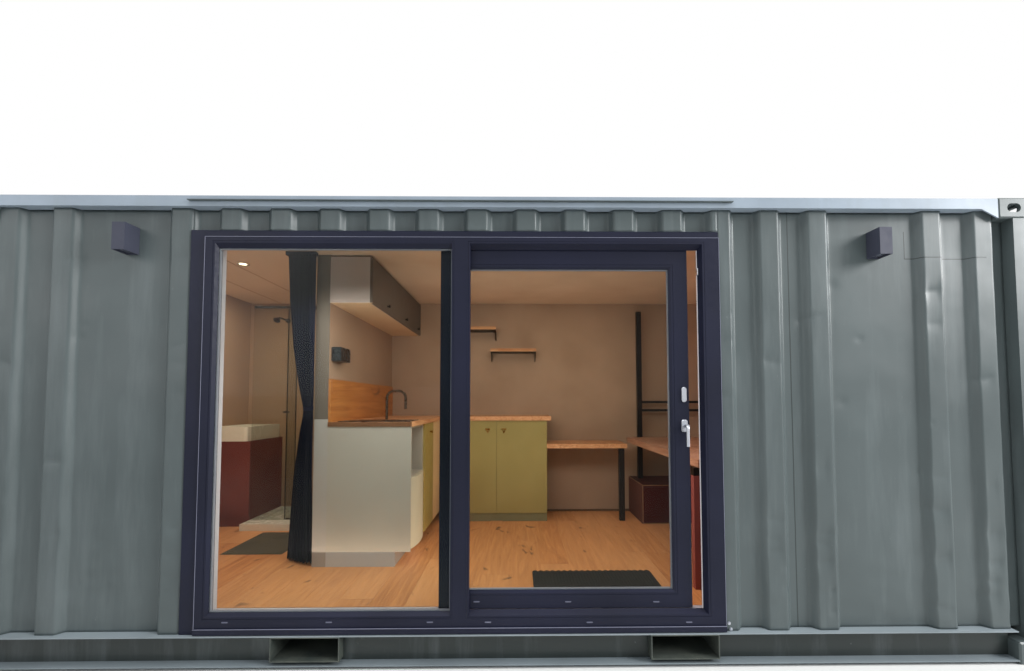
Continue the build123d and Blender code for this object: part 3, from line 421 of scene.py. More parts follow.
def glass(tint, roughness, slant, clamp_start=None):
    """Clear glass that lets lamps through and mirrors by its angle, with dark clamps if asked."""
    made = Finish((30, 28, 28), 0.05)
    clear = made.node("ShaderNodeBsdfTransparent")
    fill(clear, Color=srgb(tint))
    mirror = made.node("ShaderNodeBsdfGlossy")
    fill(mirror, Color=MIRROR_TINT, Roughness=roughness)
    weight = made.node("ShaderNodeLayerWeight")
    fill(weight, Blend=slant)
    pane = made.blend(weight.outputs["Facing"], clear, mirror)
    if clamp_start is None:
        made.tree.nodes.remove(made.shader)
    else:
        pane = made.blend(made.beyond("+Z", clamp_start), pane, made.shader)
    made.link(pane.outputs[0], made.tree.nodes["Material Output"].inputs["Surface"])
    return made.material


def cloth(colour, thread=0.0012):
    """Plain woven cloth with a soft sheen."""
    made = Finish(colour, 0.9, specular=0.1)
    fill(made.shader, Sheen_Weight=0.1, Sheen_Roughness=0.4)
    made.colour(made.mix(made.cloud(0.12, detail=4), scaled(colour, 0.8), colour))
    made.bump(made.noise(thread, stretch=(1, 1, 0.3), detail=2), 0.00015, 0.5)
    return made.material


def glow(colour, strength):
    made = Finish(colour)
    fill(made.shader, Emission_Color=srgb(colour), Emission_Strength=strength)
    return made.material


COUNTER_OAK = ((188, 128, 84), (226, 170, 124))

finishes = {
    "shell": shell_paint(),
    "shell_welded": shell_paint(seams=True),
    # The top rails take the walls' paint made much lighter: painted light, for the sky light that falls on
    # them.
    "top_rails": shell_paint(paint=(168, 182, 196)),
    # Over the rails' darker paint, the pale band from 0.172 to 0.300 up is painted light on the upward
    # flange, and the pale band along the bottom edge is painted light as well.
    "bottom_side_rails": shell_paint(paint=(48, 55, 54), parts=(
        ((150, 161, 167), "Z", 0.172, 0.300), ((136, 147, 153), "Z", -0.010, 0.024))),
    "underframe": dark_steel(),
    "frame": frame_paint(),
    "frame_two_tone": frame_paint(PALE_FRAME_START),
    "leaf_frame": frame_paint(PALE_LEAF_START),
    "glass": glass((235, 240, 238), 0.02, 0.1),
    "shower_screen": glass((246, 248, 246), 0.03, 0.08,
                           high_of("shower_screen", Z) - CLAMP_HEIGHT),
    "wall_lamps": plain_paint((64, 67, 82), 0.6, grain=0.0008, relief=0.0001, spread=4),
    "steel": metal((196, 200, 208), 0.3),
    "chrome": metal((215, 217, 220), 0.1),
    "brass": metal((196, 152, 84), 0.28),
    "dark_metal": metal((60, 56, 54), 0.35),
    "wall": plain_paint(WALL_PAINT, 0.7, grain=0.004, relief=0.00008, specular=0.2),
    # The partition is painted darker above counter height and lighter below: painted shade above, and
    # painted daylight below, where the light from the window reaches. Its far side takes the wall paint.
    "partition_wall": split_paint((186, 178, 170), (
        ((113, 102, 91), "+Z", counter_level + 0.02),
        (WALL_PAINT, "+Y", low_of("partition_wall", Y) + SKIN)), 0.7),
    "ceiling": ceiling_paint(),
    "floor_boards": plank_floor(),
    # The near-white colour below the fronts is painted light, lifting the plinth out of the shade it
    # stands in.
    "kitchen_base": split_paint((184, 175, 162), (
        ((214, 212, 210), "-Z", low_of("kitchen_fronts", Z) - 0.001),), 0.42, 0.4),
    "kitchen_fronts": split_paint((206, 196, 172), (
        ((170, 148, 84), "+Y", DOOR_START), ((232, 196, 150), "+Y", STRIP_START))),
    "kitchen_fittings": fittings_coat(),
    # The darker colour on the worktop's front edge is painted shade.
    "kitchen_worktop": wood(*COUNTER_OAK, parts=(
        ((121, 82, 54), "-Y", low_of("kitchen_worktop", Y) + SKIN),)),
    "counter": wood(*COUNTER_OAK),
    "splashback": wood((166, 98, 42), (198, 130, 66), along=(1, 0.08, 1), ring=0.05,
                       knots=0.6, parts=((WALL_PAINT, "+Y", low_of("lining_back", Y) - 0.026),)),
    # The cream underside is painted light, for the warm light bounced up from the floor; the darker doors
    # are their own colour.
    "wall_cabinet": split_paint((184, 168, 160), (
        ((102, 90, 80), "+X", high_of("wall_cabinet", X) - 0.0185),
        ((232, 200, 162), "-Z", low_of("wall_cabinet", Z) + 0.001))),
    "wall_shelves": wood((176, 116, 70), (208, 152, 104), along=(0.06, 1, 1), parts=[
        ((22, 22, 23), "Z", underside - BRACKET_DROP, underside) for underside in SHELVES]),
    "bed_platform": wood((160, 110, 84), (190, 146, 120), along=(1, 0.06, 1)),
    "bed_leg": split_paint((150, 82, 78), (
        ((22, 20, 20), "+Z", high_of("bed_leg", Z) - 0.05),)),
    "red_cabinet": split_paint((70, 27, 28), (
        ((98, 58, 52), "-X", low_of("red_cabinet", X) + 0.0005),), specular=0.15),
    "green_doors": plain_paint((154, 137, 80), 0.48),
    "green_cabinet": plain_paint((126, 120, 88)),
    "vanity": plain_paint((116, 62, 58), spread=8, specular=0.2),
    "black": plain_paint((26, 26, 27), spread=3),
    "bathroom": plain_paint((228, 224, 212), 0.25),
    "rubber": plain_paint((44, 44, 42), 0.85, grain=0.003, relief=0.0006, spread=4),
    "bath_mat": cloth((92, 86, 70), 0.004),
    "curtain": cloth((24, 27, 46)),
    "curtain_track": plain_paint((22, 25, 42), 0.6, spread=3, specular=0.2),
    "cap": plain_paint((104, 107, 126), 0.4),
    # Pale paint for the strips round the window frame: painted highlight lines.
    "highlight_line_paint": plain_paint((128, 131, 150), 0.35),
    # Pale paint for the strip at the closing lip: a painted highlight line.
    "lip_highlight_paint": plain_paint((226, 224, 228), 0.4),
    "spacer": plain_paint((142, 142, 152), 0.4),
    "edge": plain_paint((150, 112, 82)),
    "skirting": plain_paint((96, 70, 50)),
    "lens": plain_paint((90, 94, 106), 0.25),
    "spot": glow((255, 236, 200), 6.0),
}
for name, material in finishes.items():
    material.name = name

# CAD nodes that share a finish. Every other node has the finish of its own name.
shared_finishes = {
    "shell": "front_wall_left front_wall_right front_wall_over_window back_wall blank_end_wall roof_panel "
             "bottom_end_rails corner_posts corner_castings cargo_doors lock_rods drip_strip",
    "underframe": "cross_members fork_pockets floor_base",
    "frame": "sub_sill head_flashing side_flashing",
    "frame_two_tone": "window_sill window_head window_jambs window_mullion",
    "glass": "fixed_pane leaf_glass",
    "steel": "lock_plates door_lever",
    "wall": "lining_back lining_ends lining_front_sides lining_over_window",
    "counter": "green_worktop desk",
    "black": "desk_leg bed_post bed_rail",
    "bathroom": "shower_tray basin",
}


def dress_nodes():
    finish_of = {name: finish for finish, names in shared_finishes.items() for name in names.split()}
    for name, node in nodes.items():
        for slot in node.material_slots:
            slot.material = finishes[finish_of.get(name, name)]


# Mesh helpers
def from_bmesh(shape, name, smooth=False):
    mesh = bpy.data.meshes.new(name)
    bmesh.ops.recalc_face_normals(shape, faces=shape.faces)
    shape.to_mesh(mesh)
    shape.free()
    if smooth:
        mesh.shade_smooth()
    return mesh


def new_piece(name, shape, finish, body="cabin", smooth=False):
    """Turn a shape into a piece that rides on a body."""
    mesh = from_bmesh(shape, name, smooth)
    piece = bpy.data.objects.new(name, mesh)
    scene.collection.objects.link(piece)
    mesh.materials.append(finishes[finish])
    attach(piece, body)
    return piece


def add_block(shape, low, high, bevel=0.0):
    """Add a block between two corners, its edges rounded if asked."""
    made = bmesh.ops.create_cube(shape, size=1.0)
    size = [top - base for base, top in zip(low, high)]
    middle = [(base + top) / 2 for base, top in zip(low, high)]
    bmesh.ops.scale(shape, vec=size, verts=made["verts"])
    bmesh.ops.translate(shape, vec=middle, verts=made["verts"])
    if bevel:
        edges = {edge for vert in made["verts"] for edge in vert.link_edges}
        bmesh.ops.bevel(
            shape, geom=list(edges), offset=bevel, segments=2, profile=0.5, affect="EDGES"
        )


def add_rod(shape, start, end, radius, sides=16, end_radius=None):
    """Add a round bar or cone from one point to another."""
    start = Vector(start)
    end = Vector(end)
    made = bmesh.ops.create_cone(
        shape, cap_ends=True, segments=sides, radius1=radius,
        radius2=radius if end_radius is None else end_radius, depth=(end - start).length,
    )
    turn = (end - start).to_track_quat("Z", "Y").to_matrix().to_4x4()
    bmesh.ops.transform(
        shape, matrix=Matrix.Translation((start + end) / 2) @ turn, verts=made["verts"]
    )


def stitch(shape, lines, closed=False):
    """Add faces between each line of vertices and the next. Closed lines run once round."""
    for near, far in zip(lines, lines[1:]):
        count = len(near)
        for number in range(count if closed else count - 1):
            after = (number + 1) % count
            shape.faces.new([near[number], near[after], far[after], far[number]])


def add_oval(shape, centre, reach_x, reach_y, sides, tilt=0.0):
    """A line of vertices once round a centre, lifted by the tilt on its far side."""
    line = []
    for number in range(sides):
        angle = 2 * math.pi * number / sides
        line.append(shape.verts.new((
            centre[X] + reach_x * math.cos(angle), centre[Y] + reach_y * math.sin(angle),
            centre[Z] + tilt * math.sin(angle))))
    return line


# Pressed front wall with its dents
RIB_PITCH = 0.2773
RIB_FLAT = 0.106
RIB_SLOPE = 0.028
RIB_DEPTH = 0.036
INNER_RIBS = 14
PATTERN_CENTRE = 0.028
OUTER_RIBS = (2.462, 2.760)
BEND_RADIUS = 0.007
SHEET = 0.002
ROW_STEP = 0.014
MIN_COLUMN = 0.0012
MAX_COLUMN = 0.022
COLUMN_STEP = 0.018
FLAT_STEP = 0.010
EDGE_FADE = 0.03  # the dents die out towards the sheet's top and bottom
SETBACK = 0.0015  # keeps the waves from standing proud of the CAD sheet
rib_face = inward(0.028)
recess_face = rib_face + RIB_DEPTH

rib_middles = [PATTERN_CENTRE + (number - (INNER_RIBS - 1) / 2) * RIB_PITCH
               for number in range(INNER_RIBS)]
for offset in OUTER_RIBS:
    rib_middles += [PATTERN_CENTRE - offset, PATTERN_CENTRE + offset]
rib_middles.sort()


def rib_level(x):
    """How far the pressed sheet stands out of its recesses at x, with sharp bends."""
    best = 0.0
    for middle in rib_middles:
        beyond = abs(x - middle) - RIB_FLAT / 2
        best = max(best, min(1.0, 1.0 - beyond / RIB_SLOPE))
    return best * RIB_DEPTH


def rounded_level(x, samples=7):
    """The same with its bends rounded, as a mean over a short stretch."""
    total = 0.0
    for number in range(samples):
        total += rib_level(x + BEND_RADIUS * (2 * number / (samples - 1) - 1))
    return total / samples


# Each crease in millimetres: x and z of its middle, half width, reach above and below, depth
CREASES = thousandths([
    (-1773, 2248, 60, 50, 70, 6), (-2368, 2239, 45, 30, 60, 6), (-2354, 1800, 40, 30, 40, 4),
    (-1774, 1744, 50, 40, 50, 3), (-1771, 1650, 50, 50, 50, 3), (-1739, 1478, 50, 40, 60, 3),
    (-2438, 1109, 65, 50, 50, 7), (-2440, 707, 60, 90, 100, 10), (-1759, 745, 35, 30, 30, 8),
    (-1771, 600, 65, 70, 50, 7), (-1766, 469, 65, 80, 50, 8), (-1785, 408, 30, 30, 40, 5),
    (-2720, 1650, 40, 50, 60, 7), (-2700, 930, 50, 60, 50, 5), (1290, 1927, 55, 40, 80, 5),
    (1285, 1773, 55, 50, 60, 6), (1279, 1466, 55, 40, 60, 6), (1280, 750, 60, 40, 100, 8),
    (1551, 1657, 60, 50, 50, 8), (1550, 776, 60, 50, 60, 9), (1537, 665, 40, 40, 50, 7),
    (1546, 602, 50, 30, 50, 6), (1597, 517, 18, 20, 20, 6), (1600, 401, 18, 20, 30, 6),
    (1756, 1899, 35, 20, 30, 5), (1807, 1916, 50, 20, 40, 4), (1819, 1057, 35, 60, 60, 6),
    (1819, 695, 50, 50, 50, 10), (1806, 642, 45, 30, 40, 7), (1819, 536, 45, 50, 50, 10),
    (1863, 389, 20, 30, 30, 8), (1819, 379, 50, 30, 50, 5), (1859, 274, 22, 40, 30, 8),
    (2490, 2061, 50, 40, 60, 8), (2487, 1872, 45, 40, 40, 3), (2472, 1013, 60, 50, 50, 6),
    (2403, 1040, 20, 30, 30, 5), (2464, 825, 62, 50, 80, 11), (2476, 566, 50, 50, 50, 7),
    (2479, 533, 55, 30, 40, 5), (2474, 291, 55, 30, 60, 6), (2756, 1558, 55, 40, 50, 6),
    (2777, 958, 30, 50, 50, 5), (2775, 691, 45, 50, 50, 9), (2778, 531, 40, 40, 50, 11),
    (2748, 353, 45, 70, 60, 10), (2760, 430, 40, 30, 30, 8),
])
# Each ding in a recess in millimetres: x, z, radius, depth
DINGS = thousandths([
    (-2321, 1864, 20, 3), (-2343, 393, 30, 4), (-2194, 662, 30, 3), (-2245, 466, 32, 5),
    (-2151, 416, 40, 6), (-2230, 560, 40, 4), (-2120, 480, 30, 3), (-2290, 430, 25, 4),
    (-2200, 380, 30, 4), (1927, 2103, 30, 4), (2079, 1789, 18, 3), (1966, 1428, 28, 4),
    (2447, 1311, 15, 3),
])
CREASE_WIDTHS = 1.6  # a crease has died out at this many half widths
CREASE_REACH = 0.4
CREASE_SLANT = 0.25
DING_REACH = 3


def dent(x, z):
    """How far the sheet is pushed in at a place."""
    depth = 0.0
    for middle, level, half_width, above, below, push in CREASES:
        across = abs(x - middle) / half_width
        if across > CREASE_WIDTHS or abs(z - level) > CREASE_REACH:
            continue
        # The sine gives each crease a slant of its own
        line = level + CREASE_SLANT * (x - middle) * math.sin(37 * level)
        away = (z - line) / above if z > line else (line - z) / below
        depth += push * math.exp(-away) * math.exp(-(across**4))
    for middle, level, radius, push in DINGS:
        away = math.hypot(x - middle, z - level) / radius
        if away < DING_REACH:
            depth += push * math.exp(-away * away)
    return depth


def waviness(x, z):
    """The slow waves of a pressed sheet, stronger low down where it was knocked."""
    place = Vector((x * 3.0, 4.0, z * 5.0))
    knocks = max(0.0, min(1.0, (1.1 - z) / 0.8))
    return 0.0016 * noise.noise(place) + 0.0030 * knocks * noise.noise(place * 2.6)


def wall_columns(start, end):
    """X places of a wall's columns, close together at the bends."""
    places = {start, end}
    for middle in rib_middles:
        for side in (-1, 1):
            for bend in (RIB_FLAT / 2, RIB_FLAT / 2 + RIB_SLOPE):
                for number in range(-3, 4):
                    places.add(middle + side * (bend + number * BEND_RADIUS / 2.5))
            places.add(middle + side * (RIB_FLAT / 2 + RIB_SLOPE / 2))
        for number in range(-4, 5):
            places.add(middle + number * FLAT_STEP)
    kept = sorted(place for place in places if start <= place <= end)
    columns = [kept[0]]
    for place in kept[1:]:
        if place - columns[-1] < MIN_COLUMN:
            continue
        while place - columns[-1] > MAX_COLUMN:
            columns.append(columns[-1] + COLUMN_STEP)
        columns.append(place)
    columns[-1] = end
    return columns


def once_round(grid):
    """The outermost vertices of a grid, in order."""
    rising = [line[-1] for line in grid[1:-1]]
    falling = [line[0] for line in grid[-2:0:-1]]
    return grid[0] + rising + grid[-1][::-1] + falling


def pressed_wall(node):
    """A sheet with rounded bends and dents in place of a CAD wall."""
    low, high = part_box(node)
    columns = wall_columns(low[X], high[X])
    levels = [rounded_level(x) for x in columns]
    row_total = max(2, int((high[Z] - low[Z]) / ROW_STEP))
    rows = [low[Z] + (high[Z] - low[Z]) * number / row_total for number in range(row_total + 1)]
    shape = bmesh.new()
    sides = []
    for inset in (0.0, SHEET):
        grid = []
        for z in rows:
            fade = min(1.0, (z - low[Z]) / EDGE_FADE, (high[Z] - z) / EDGE_FADE)
            line = []
            for x, level in zip(columns, levels):
                push = fade * (dent(x, z) + waviness(x, z) + SETBACK)
                line.append(shape.verts.new((x, recess_face - level + inset + push, z)))
            grid.append(line)
        sides.append(grid)
    outer, inner = sides
    stitch(shape, outer)
    stitch(shape, inner[::-1])
    stitch(shape, [once_round(outer), once_round(inner)], closed=True)
    finish = "shell_welded" if node == "front_wall_right" else "shell"
    piece = new_piece(f"{node}_pressed", shape, finish, smooth=True)
    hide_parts(node)


# Small fittings
SOFT_EDGE = 0.001
PLATE = 0.003  # thickness of caps and handle plates
PLATE_RIM = 0.001
PLATE_SIDES = 8
CAP_SIZE = (0.034, 0.0065)
SILL_CAPS = ((-1.460, 0.247), (-0.902, 0.245), (-0.358, 0.242), (-0.044, 0.240), (0.508, 0.236),
             (1.051, 0.233))
LEAF_CAPS = ((-0.110, 0.331), (0.396, 0.328), (0.885, 0.325))
HIGHLIGHT_HALF_WIDTH = 0.0012  # half the width of the painted highlight line round the frame
SPACER = 0.006
LIP = 0.113  # from the jambs' right side to the closing lip
WALL_BOLTS = ((1.275, 0.220), (1.285, 0.188))
WASHER_RADIUS = 0.009
BOLT_RADIUS = 0.0065
LAMPS = ((-2.066, 2.344), (2.172, 2.330))
LENS_LEVELS = (-0.065, 0.062)  # the lenses' undersides from a lamp's middle
LENS_HALF_WIDTH = 0.031
LENS_HEIGHT = 0.003
SPOT = (-1.973, inward(0.937))
SPOT_SIDES = 40
SPOT_PROFILE = ((0.044, 0.0), (0.042, -0.003), (0.029, -0.002), (0.026, 0.0))
KNOB_RADIUS = 0.014
KNOB_REACH = 0.024
KNOB_PROFILE = ((0.0, 0.55), (0.35, 0.42), (0.6, 0.85), (0.8, 1.0), (0.93, 0.8), (1.0, 0.35))
CABINET_KNOBS = ((1.093, 2.193), (1.675, 2.195), (2.180, 2.190))
DOOR_KNOB = inward(1.409)
KNOB_DROP = 0.075
HANDLES = (-0.172, -0.016)
HANDLE_LEVEL = 1.172
HANDLE_PLATE = (0.050, 0.018)
HANDLE_REACH = 0.018
SHOWER_HEAD = (-2.320, inward(2.10), 2.268)
ARM_LEVEL = 2.300
PIPE_RADIUS = 0.008
ROSE_RADIUS = 0.034
PULL_LEVEL = 1.343
PULL_REACH = 0.008
PULL_ENDS = (-2.058, -2.002)
PULL_LEGS = (-2.050, -2.010)
SCREEN_SEALS = (-2.036, -1.954)
STRIKER_RANGE = (2.150, 2.190)


def add_plate(shape, x, z, base, length, width):
    """Add a plate with round ends along X to a face that looks along -Y, its rim drawn in."""
    outline = []
    for end in (1, -1):
        for number in range(PLATE_SIDES + 1):
            angle = -math.pi / 2 + math.pi * number / PLATE_SIDES
            outline.append((end * ((length - width) / 2 + math.cos(angle) * width / 2),
                            end * math.sin(angle) * width / 2))
    rings = []
    for proud, drawn_in in ((0.0, 0.0), (PLATE - PLATE_RIM, 0.0), (PLATE, PLATE_RIM)):
        line = []
        for across, up in outline:
            share = 1 - drawn_in / math.hypot(across, up)
            line.append(shape.verts.new((x + across * share, base - proud, z + up * share)))
        rings.append(line)
    stitch(shape, rings, closed=True)
    shape.faces.new(rings[0][::-1])
    shape.faces.new(rings[-1])


def add_knob(shape, x, y, z):
    """Add a turned knob that stands out along X: neck, flare and rounded head."""
    for (low_share, low_radius), (high_share, high_radius) in zip(KNOB_PROFILE, KNOB_PROFILE[1:]):
        add_rod(shape, (x + KNOB_REACH * low_share, y, z), (x + KNOB_REACH * high_share, y, z),
                KNOB_RADIUS * low_radius, 20, KNOB_RADIUS * high_radius)


def add_ring(shape, x, z, y, width):
    """Add a flat frame of four bars just inside the given ranges."""
    for bottom, top in ((z[0], z[0] + width), (z[1] - width, z[1])):
        add_block(shape, (x[0], y[0], bottom), (x[1], y[1], top))
    for left, right in ((x[0], x[0] + width), (x[1] - width, x[1])):
        add_block(shape, (left, y[0], z[0] + width), (right, y[1], z[1] - width))


def drain_caps(name, places, face, body):
    caps = bmesh.new()
    for x, z in places:
        add_plate(caps, x, z, face, *CAP_SIZE)
    new_piece(name, caps, "cap", body)


def window_trim():
    """Drain caps, pale strips painted as highlight lines round the frame and along the sub-sill, spacers
    inside the panes, a pale strip painted as a highlight line at the closing lip, the striker, and the
    bolts.
    """
    face = low_of("window_sill", Y)
    drain_caps("sill_drain_caps", SILL_CAPS, face, "cabin")
    jamb_low, jamb_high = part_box("window_jambs")
    head_top = high_of("window_head", Z)
    ledge_low, ledge_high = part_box("sub_sill")
    front, back = face - 0.0015, face + 0.003
    # Pale strips along the frame's outer edges and the sub-sill's top front edge: painted highlight lines.
    highlight_lines = bmesh.new()
    for x in (jamb_low[X], jamb_high[X]):
        add_block(highlight_lines, (x - HIGHLIGHT_HALF_WIDTH, front, ledge_high[Z]), (x + HIGHLIGHT_HALF_WIDTH, back, head_top))
    add_block(highlight_lines, (jamb_low[X], front, head_top - HIGHLIGHT_HALF_WIDTH), (jamb_high[X], back, head_top + HIGHLIGHT_HALF_WIDTH))
    add_block(highlight_lines, (ledge_low[X], ledge_low[Y] - 0.001, ledge_high[Z] - 0.0022),
              (ledge_high[X], ledge_low[Y] + 0.002, ledge_high[Z] + 0.0005))
    new_piece("frame_highlight_lines", highlight_lines, "highlight_line_paint")
    drain_caps("leaf_drain_caps", LEAF_CAPS, low_of("leaf_frame", Y), "sliding_leaf")
    for name, node, body in (("pane_spacer", "fixed_pane", "cabin"),
                             ("leaf_spacer", "leaf_glass", "sliding_leaf")):
        low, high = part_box(node)
        shape = bmesh.new()
        add_ring(shape, (low[X], high[X]), (low[Z], high[Z]), (low[Y] + 0.004, high[Y] - 0.001), SPACER)
        new_piece(name, shape, "spacer", body)
    lip = jamb_high[X] - LIP
    # A pale strip at the closing lip: a painted highlight line along the jamb's inner edge.
    shape = bmesh.new()
    add_block(shape, (lip - 0.004, inward(0.044), jamb_low[Z]), (lip, inward(0.052), jamb_high[Z]),
              SOFT_EDGE)
    new_piece("lip_highlight_strip", shape, "lip_highlight_paint")
    shape = bmesh.new()
    base = rib_face - 0.0005
    for x, z in WALL_BOLTS:
        add_rod(shape, (x, base + 0.002, z), (x, base - 0.002, z), WASHER_RADIUS, 24)
        add_rod(shape, (x, base - 0.002, z), (x, base - 0.008, z), BOLT_RADIUS, 6)
    new_piece("wall_bolts", shape, "steel")
    shape = bmesh.new()
    bottom, top = STRIKER_RANGE
    add_block(shape, (lip - 0.006, inward(0.030), bottom), (lip, inward(0.050), top), SOFT_EDGE)
    new_piece("striker", shape, "steel")


def lamp_lenses():
    low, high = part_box("wall_lamps")
    shape = bmesh.new()
    for x, z in LAMPS:
        for level in LENS_LEVELS:
            add_block(shape, (x - LENS_HALF_WIDTH, low[Y] + 0.004, z + level),
                      (x + LENS_HALF_WIDTH, high[Y] - 0.004, z + level + LENS_HEIGHT), SOFT_EDGE)
    new_piece("lamp_lenses", shape, "lens")


def ceiling_spot():
    """The lit spot over the bathroom: a turned ring and its lens."""
    x, y = SPOT
    z = low_of("ceiling", Z)
    shape = bmesh.new()
    rings = [add_oval(shape, (x, y, z + level), radius, radius, SPOT_SIDES)
             for radius, level in SPOT_PROFILE]
    stitch(shape, rings, closed=True)
    new_piece("ceiling_spot_ring", shape, "chrome", smooth=True)
    shape = bmesh.new()
    add_rod(shape, (x, y, z - 0.0015), (x, y, z), 0.0265, SPOT_SIDES)
    new_piece("ceiling_spot_lens", shape, "spot")


def furniture_trim():
    """Knobs, handles, skirting and pale board edges."""
    shape = bmesh.new()
    for depth, z in CABINET_KNOBS:
        add_knob(shape, high_of("wall_cabinet", X), inward(depth), z)
    new_piece("wall_cabinet_knobs", shape, "black", smooth=True)
    shape = bmesh.new()
    add_knob(shape, high_of("kitchen_base", X), DOOR_KNOB, high_of("kitchen_fronts", Z) - KNOB_DROP)
    new_piece("kitchen_door_knob", shape, "brass", smooth=True)
    front = low_of("green_doors", Y)
    grip = front - 0.010
    shape = bmesh.new()
    for x in HANDLES:
        add_plate(shape, x, HANDLE_LEVEL, front, *HANDLE_PLATE)
        for leg in (x - HANDLE_REACH, x + HANDLE_REACH):
            add_rod(shape, (leg, front - 0.008, HANDLE_LEVEL), (x, grip, HANDLE_LEVEL - 0.030), 0.0032, 12)
            add_rod(shape, (leg, front, HANDLE_LEVEL), (leg, grip, HANDLE_LEVEL), 0.004, 12)
        add_rod(shape, (x, front - 0.004, HANDLE_LEVEL - 0.032),
                (x, front - 0.014, HANDLE_LEVEL - 0.032), 0.005, 12)
    new_piece("green_door_handles", shape, "brass", smooth=True)
    back = low_of("lining_back", Y)
    floor = high_of("floor_boards", Z)
    (left, front, _), (right, far, top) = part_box("red_cabinet")
    shape = bmesh.new()
    add_block(shape, (high_of("green_cabinet", X), back - 0.012, floor), (left, back, floor + 0.020),
              SOFT_EDGE)
    new_piece("skirting", shape, "skirting")
    front -= 0.0015
    behind = front + 0.003
    shape = bmesh.new()
    add_block(shape, (left, front, top - 0.007), (right, behind, top))
    add_block(shape, (left, front, floor + 0.004), (right, behind, floor + 0.011))
    add_block(shape, (left, front, floor + 0.004), (left + 0.007, behind, top))
    add_block(shape, (left - 0.001, front, top - 0.006), (left + 0.004, far, top + 0.001))
    new_piece("red_cabinet_edges", shape, "edge")


def shower_trim():
    """Shower head on its arm, the screen's pull, its dark edge seals and its foot strip."""
    back = low_of("lining_back", Y)
    head = Vector(SHOWER_HEAD)
    bend = head.y + 0.05
    collar = head + Vector((0.0, 0.006, 0.012))
    rose = head + Vector((0.0, -0.004, -0.002))
    shape = bmesh.new()
    add_rod(shape, (head.x, back, ARM_LEVEL), (head.x, bend, ARM_LEVEL), PIPE_RADIUS, 20)
    add_rod(shape, (head.x, bend, ARM_LEVEL + 0.003), head + Vector((0, 0.004, 0.010)), PIPE_RADIUS, 20)
    add_rod(shape, collar, rose, 0.014, 32, ROSE_RADIUS)
    add_rod(shape, rose, head + Vector((0.0, -0.008, -0.007)), ROSE_RADIUS, 32, 0.032)
    add_rod(shape, (head.x, back, ARM_LEVEL), (head.x, back - 0.008, ARM_LEVEL), 0.026, 32)
    new_piece("shower_head", shape, "dark_metal", smooth=True)
    (_, front, bottom), (right, _, top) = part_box("shower_screen")
    shape = bmesh.new()
    add_block(shape, (PULL_ENDS[0], front - 0.026, PULL_LEVEL - PULL_REACH),
              (PULL_ENDS[1], front - 0.014, PULL_LEVEL + PULL_REACH), 0.003)
    for x in PULL_LEGS:
        add_rod(shape, (x, front - 0.016, PULL_LEVEL), (x, front, PULL_LEVEL), 0.005, 16)
    for x in SCREEN_SEALS:
        add_block(shape, (x, front - 0.001, bottom + 0.004), (x + 0.006, front + 0.009, top - 0.022))
    add_block(shape, (-2.031, front + 0.017, bottom), (right, front + 0.027, bottom + 0.012))
    new_piece("screen_trim", shape, "dark_metal")


# Curtain, gathered on its track, drawn in at its middle and spread at the hem. Each row gives the
# share of the drop, the left and right edges and the middle depth from the partition's corner,
# how far the folds reach, and how much the line of the folds turns, all in thousandths.
CURTAIN_ROWS = thousandths([
    (0, -262, -22, 127, 50, -550), (100, -220, -20, 88, 48, -450), (190, -186, -18, 52, 44, -350),
    (280, -152, -16, 20, 40, -200), (370, -114, -8, -6, 36, -100), (430, -88, -1, -24, 31, 0),
    (480, -62, 8, -40, 27, 0), (505, -54, 10, -48, 24, 0), (530, -68, 13, -50, 26, 0),
    (590, -94, 17, -53, 29, 0), (697, -129, 19, -58, 32, 0), (850, -160, 21, -58, 34, 0),
    (1000, -175, 22, -58, 35, 0),
])
CURTAIN_FOLDS = 9
CURTAIN_STEPS = (70, CURTAIN_FOLDS * 14)
SMALLEST_FOLD = 0.8
FOLD_SPREAD = 0.4
TIE_SHARE = 0.505
TIE_WIDTH = 0.014  # from the tie's middle to its edge
TIE_SIDES = 48


def curtain_row(share):
    """The curtain's sizes at a share of its drop, eased between the measured rows."""
    for low_row, high_row in zip(CURTAIN_ROWS, CURTAIN_ROWS[1:]):
        if share <= high_row[0]:
            part = (share - low_row[0]) / (high_row[0] - low_row[0])
            return [low + (high - low) * part for low, high in zip(low_row[1:], high_row[1:])]
    return list(CURTAIN_ROWS[-1][1:])


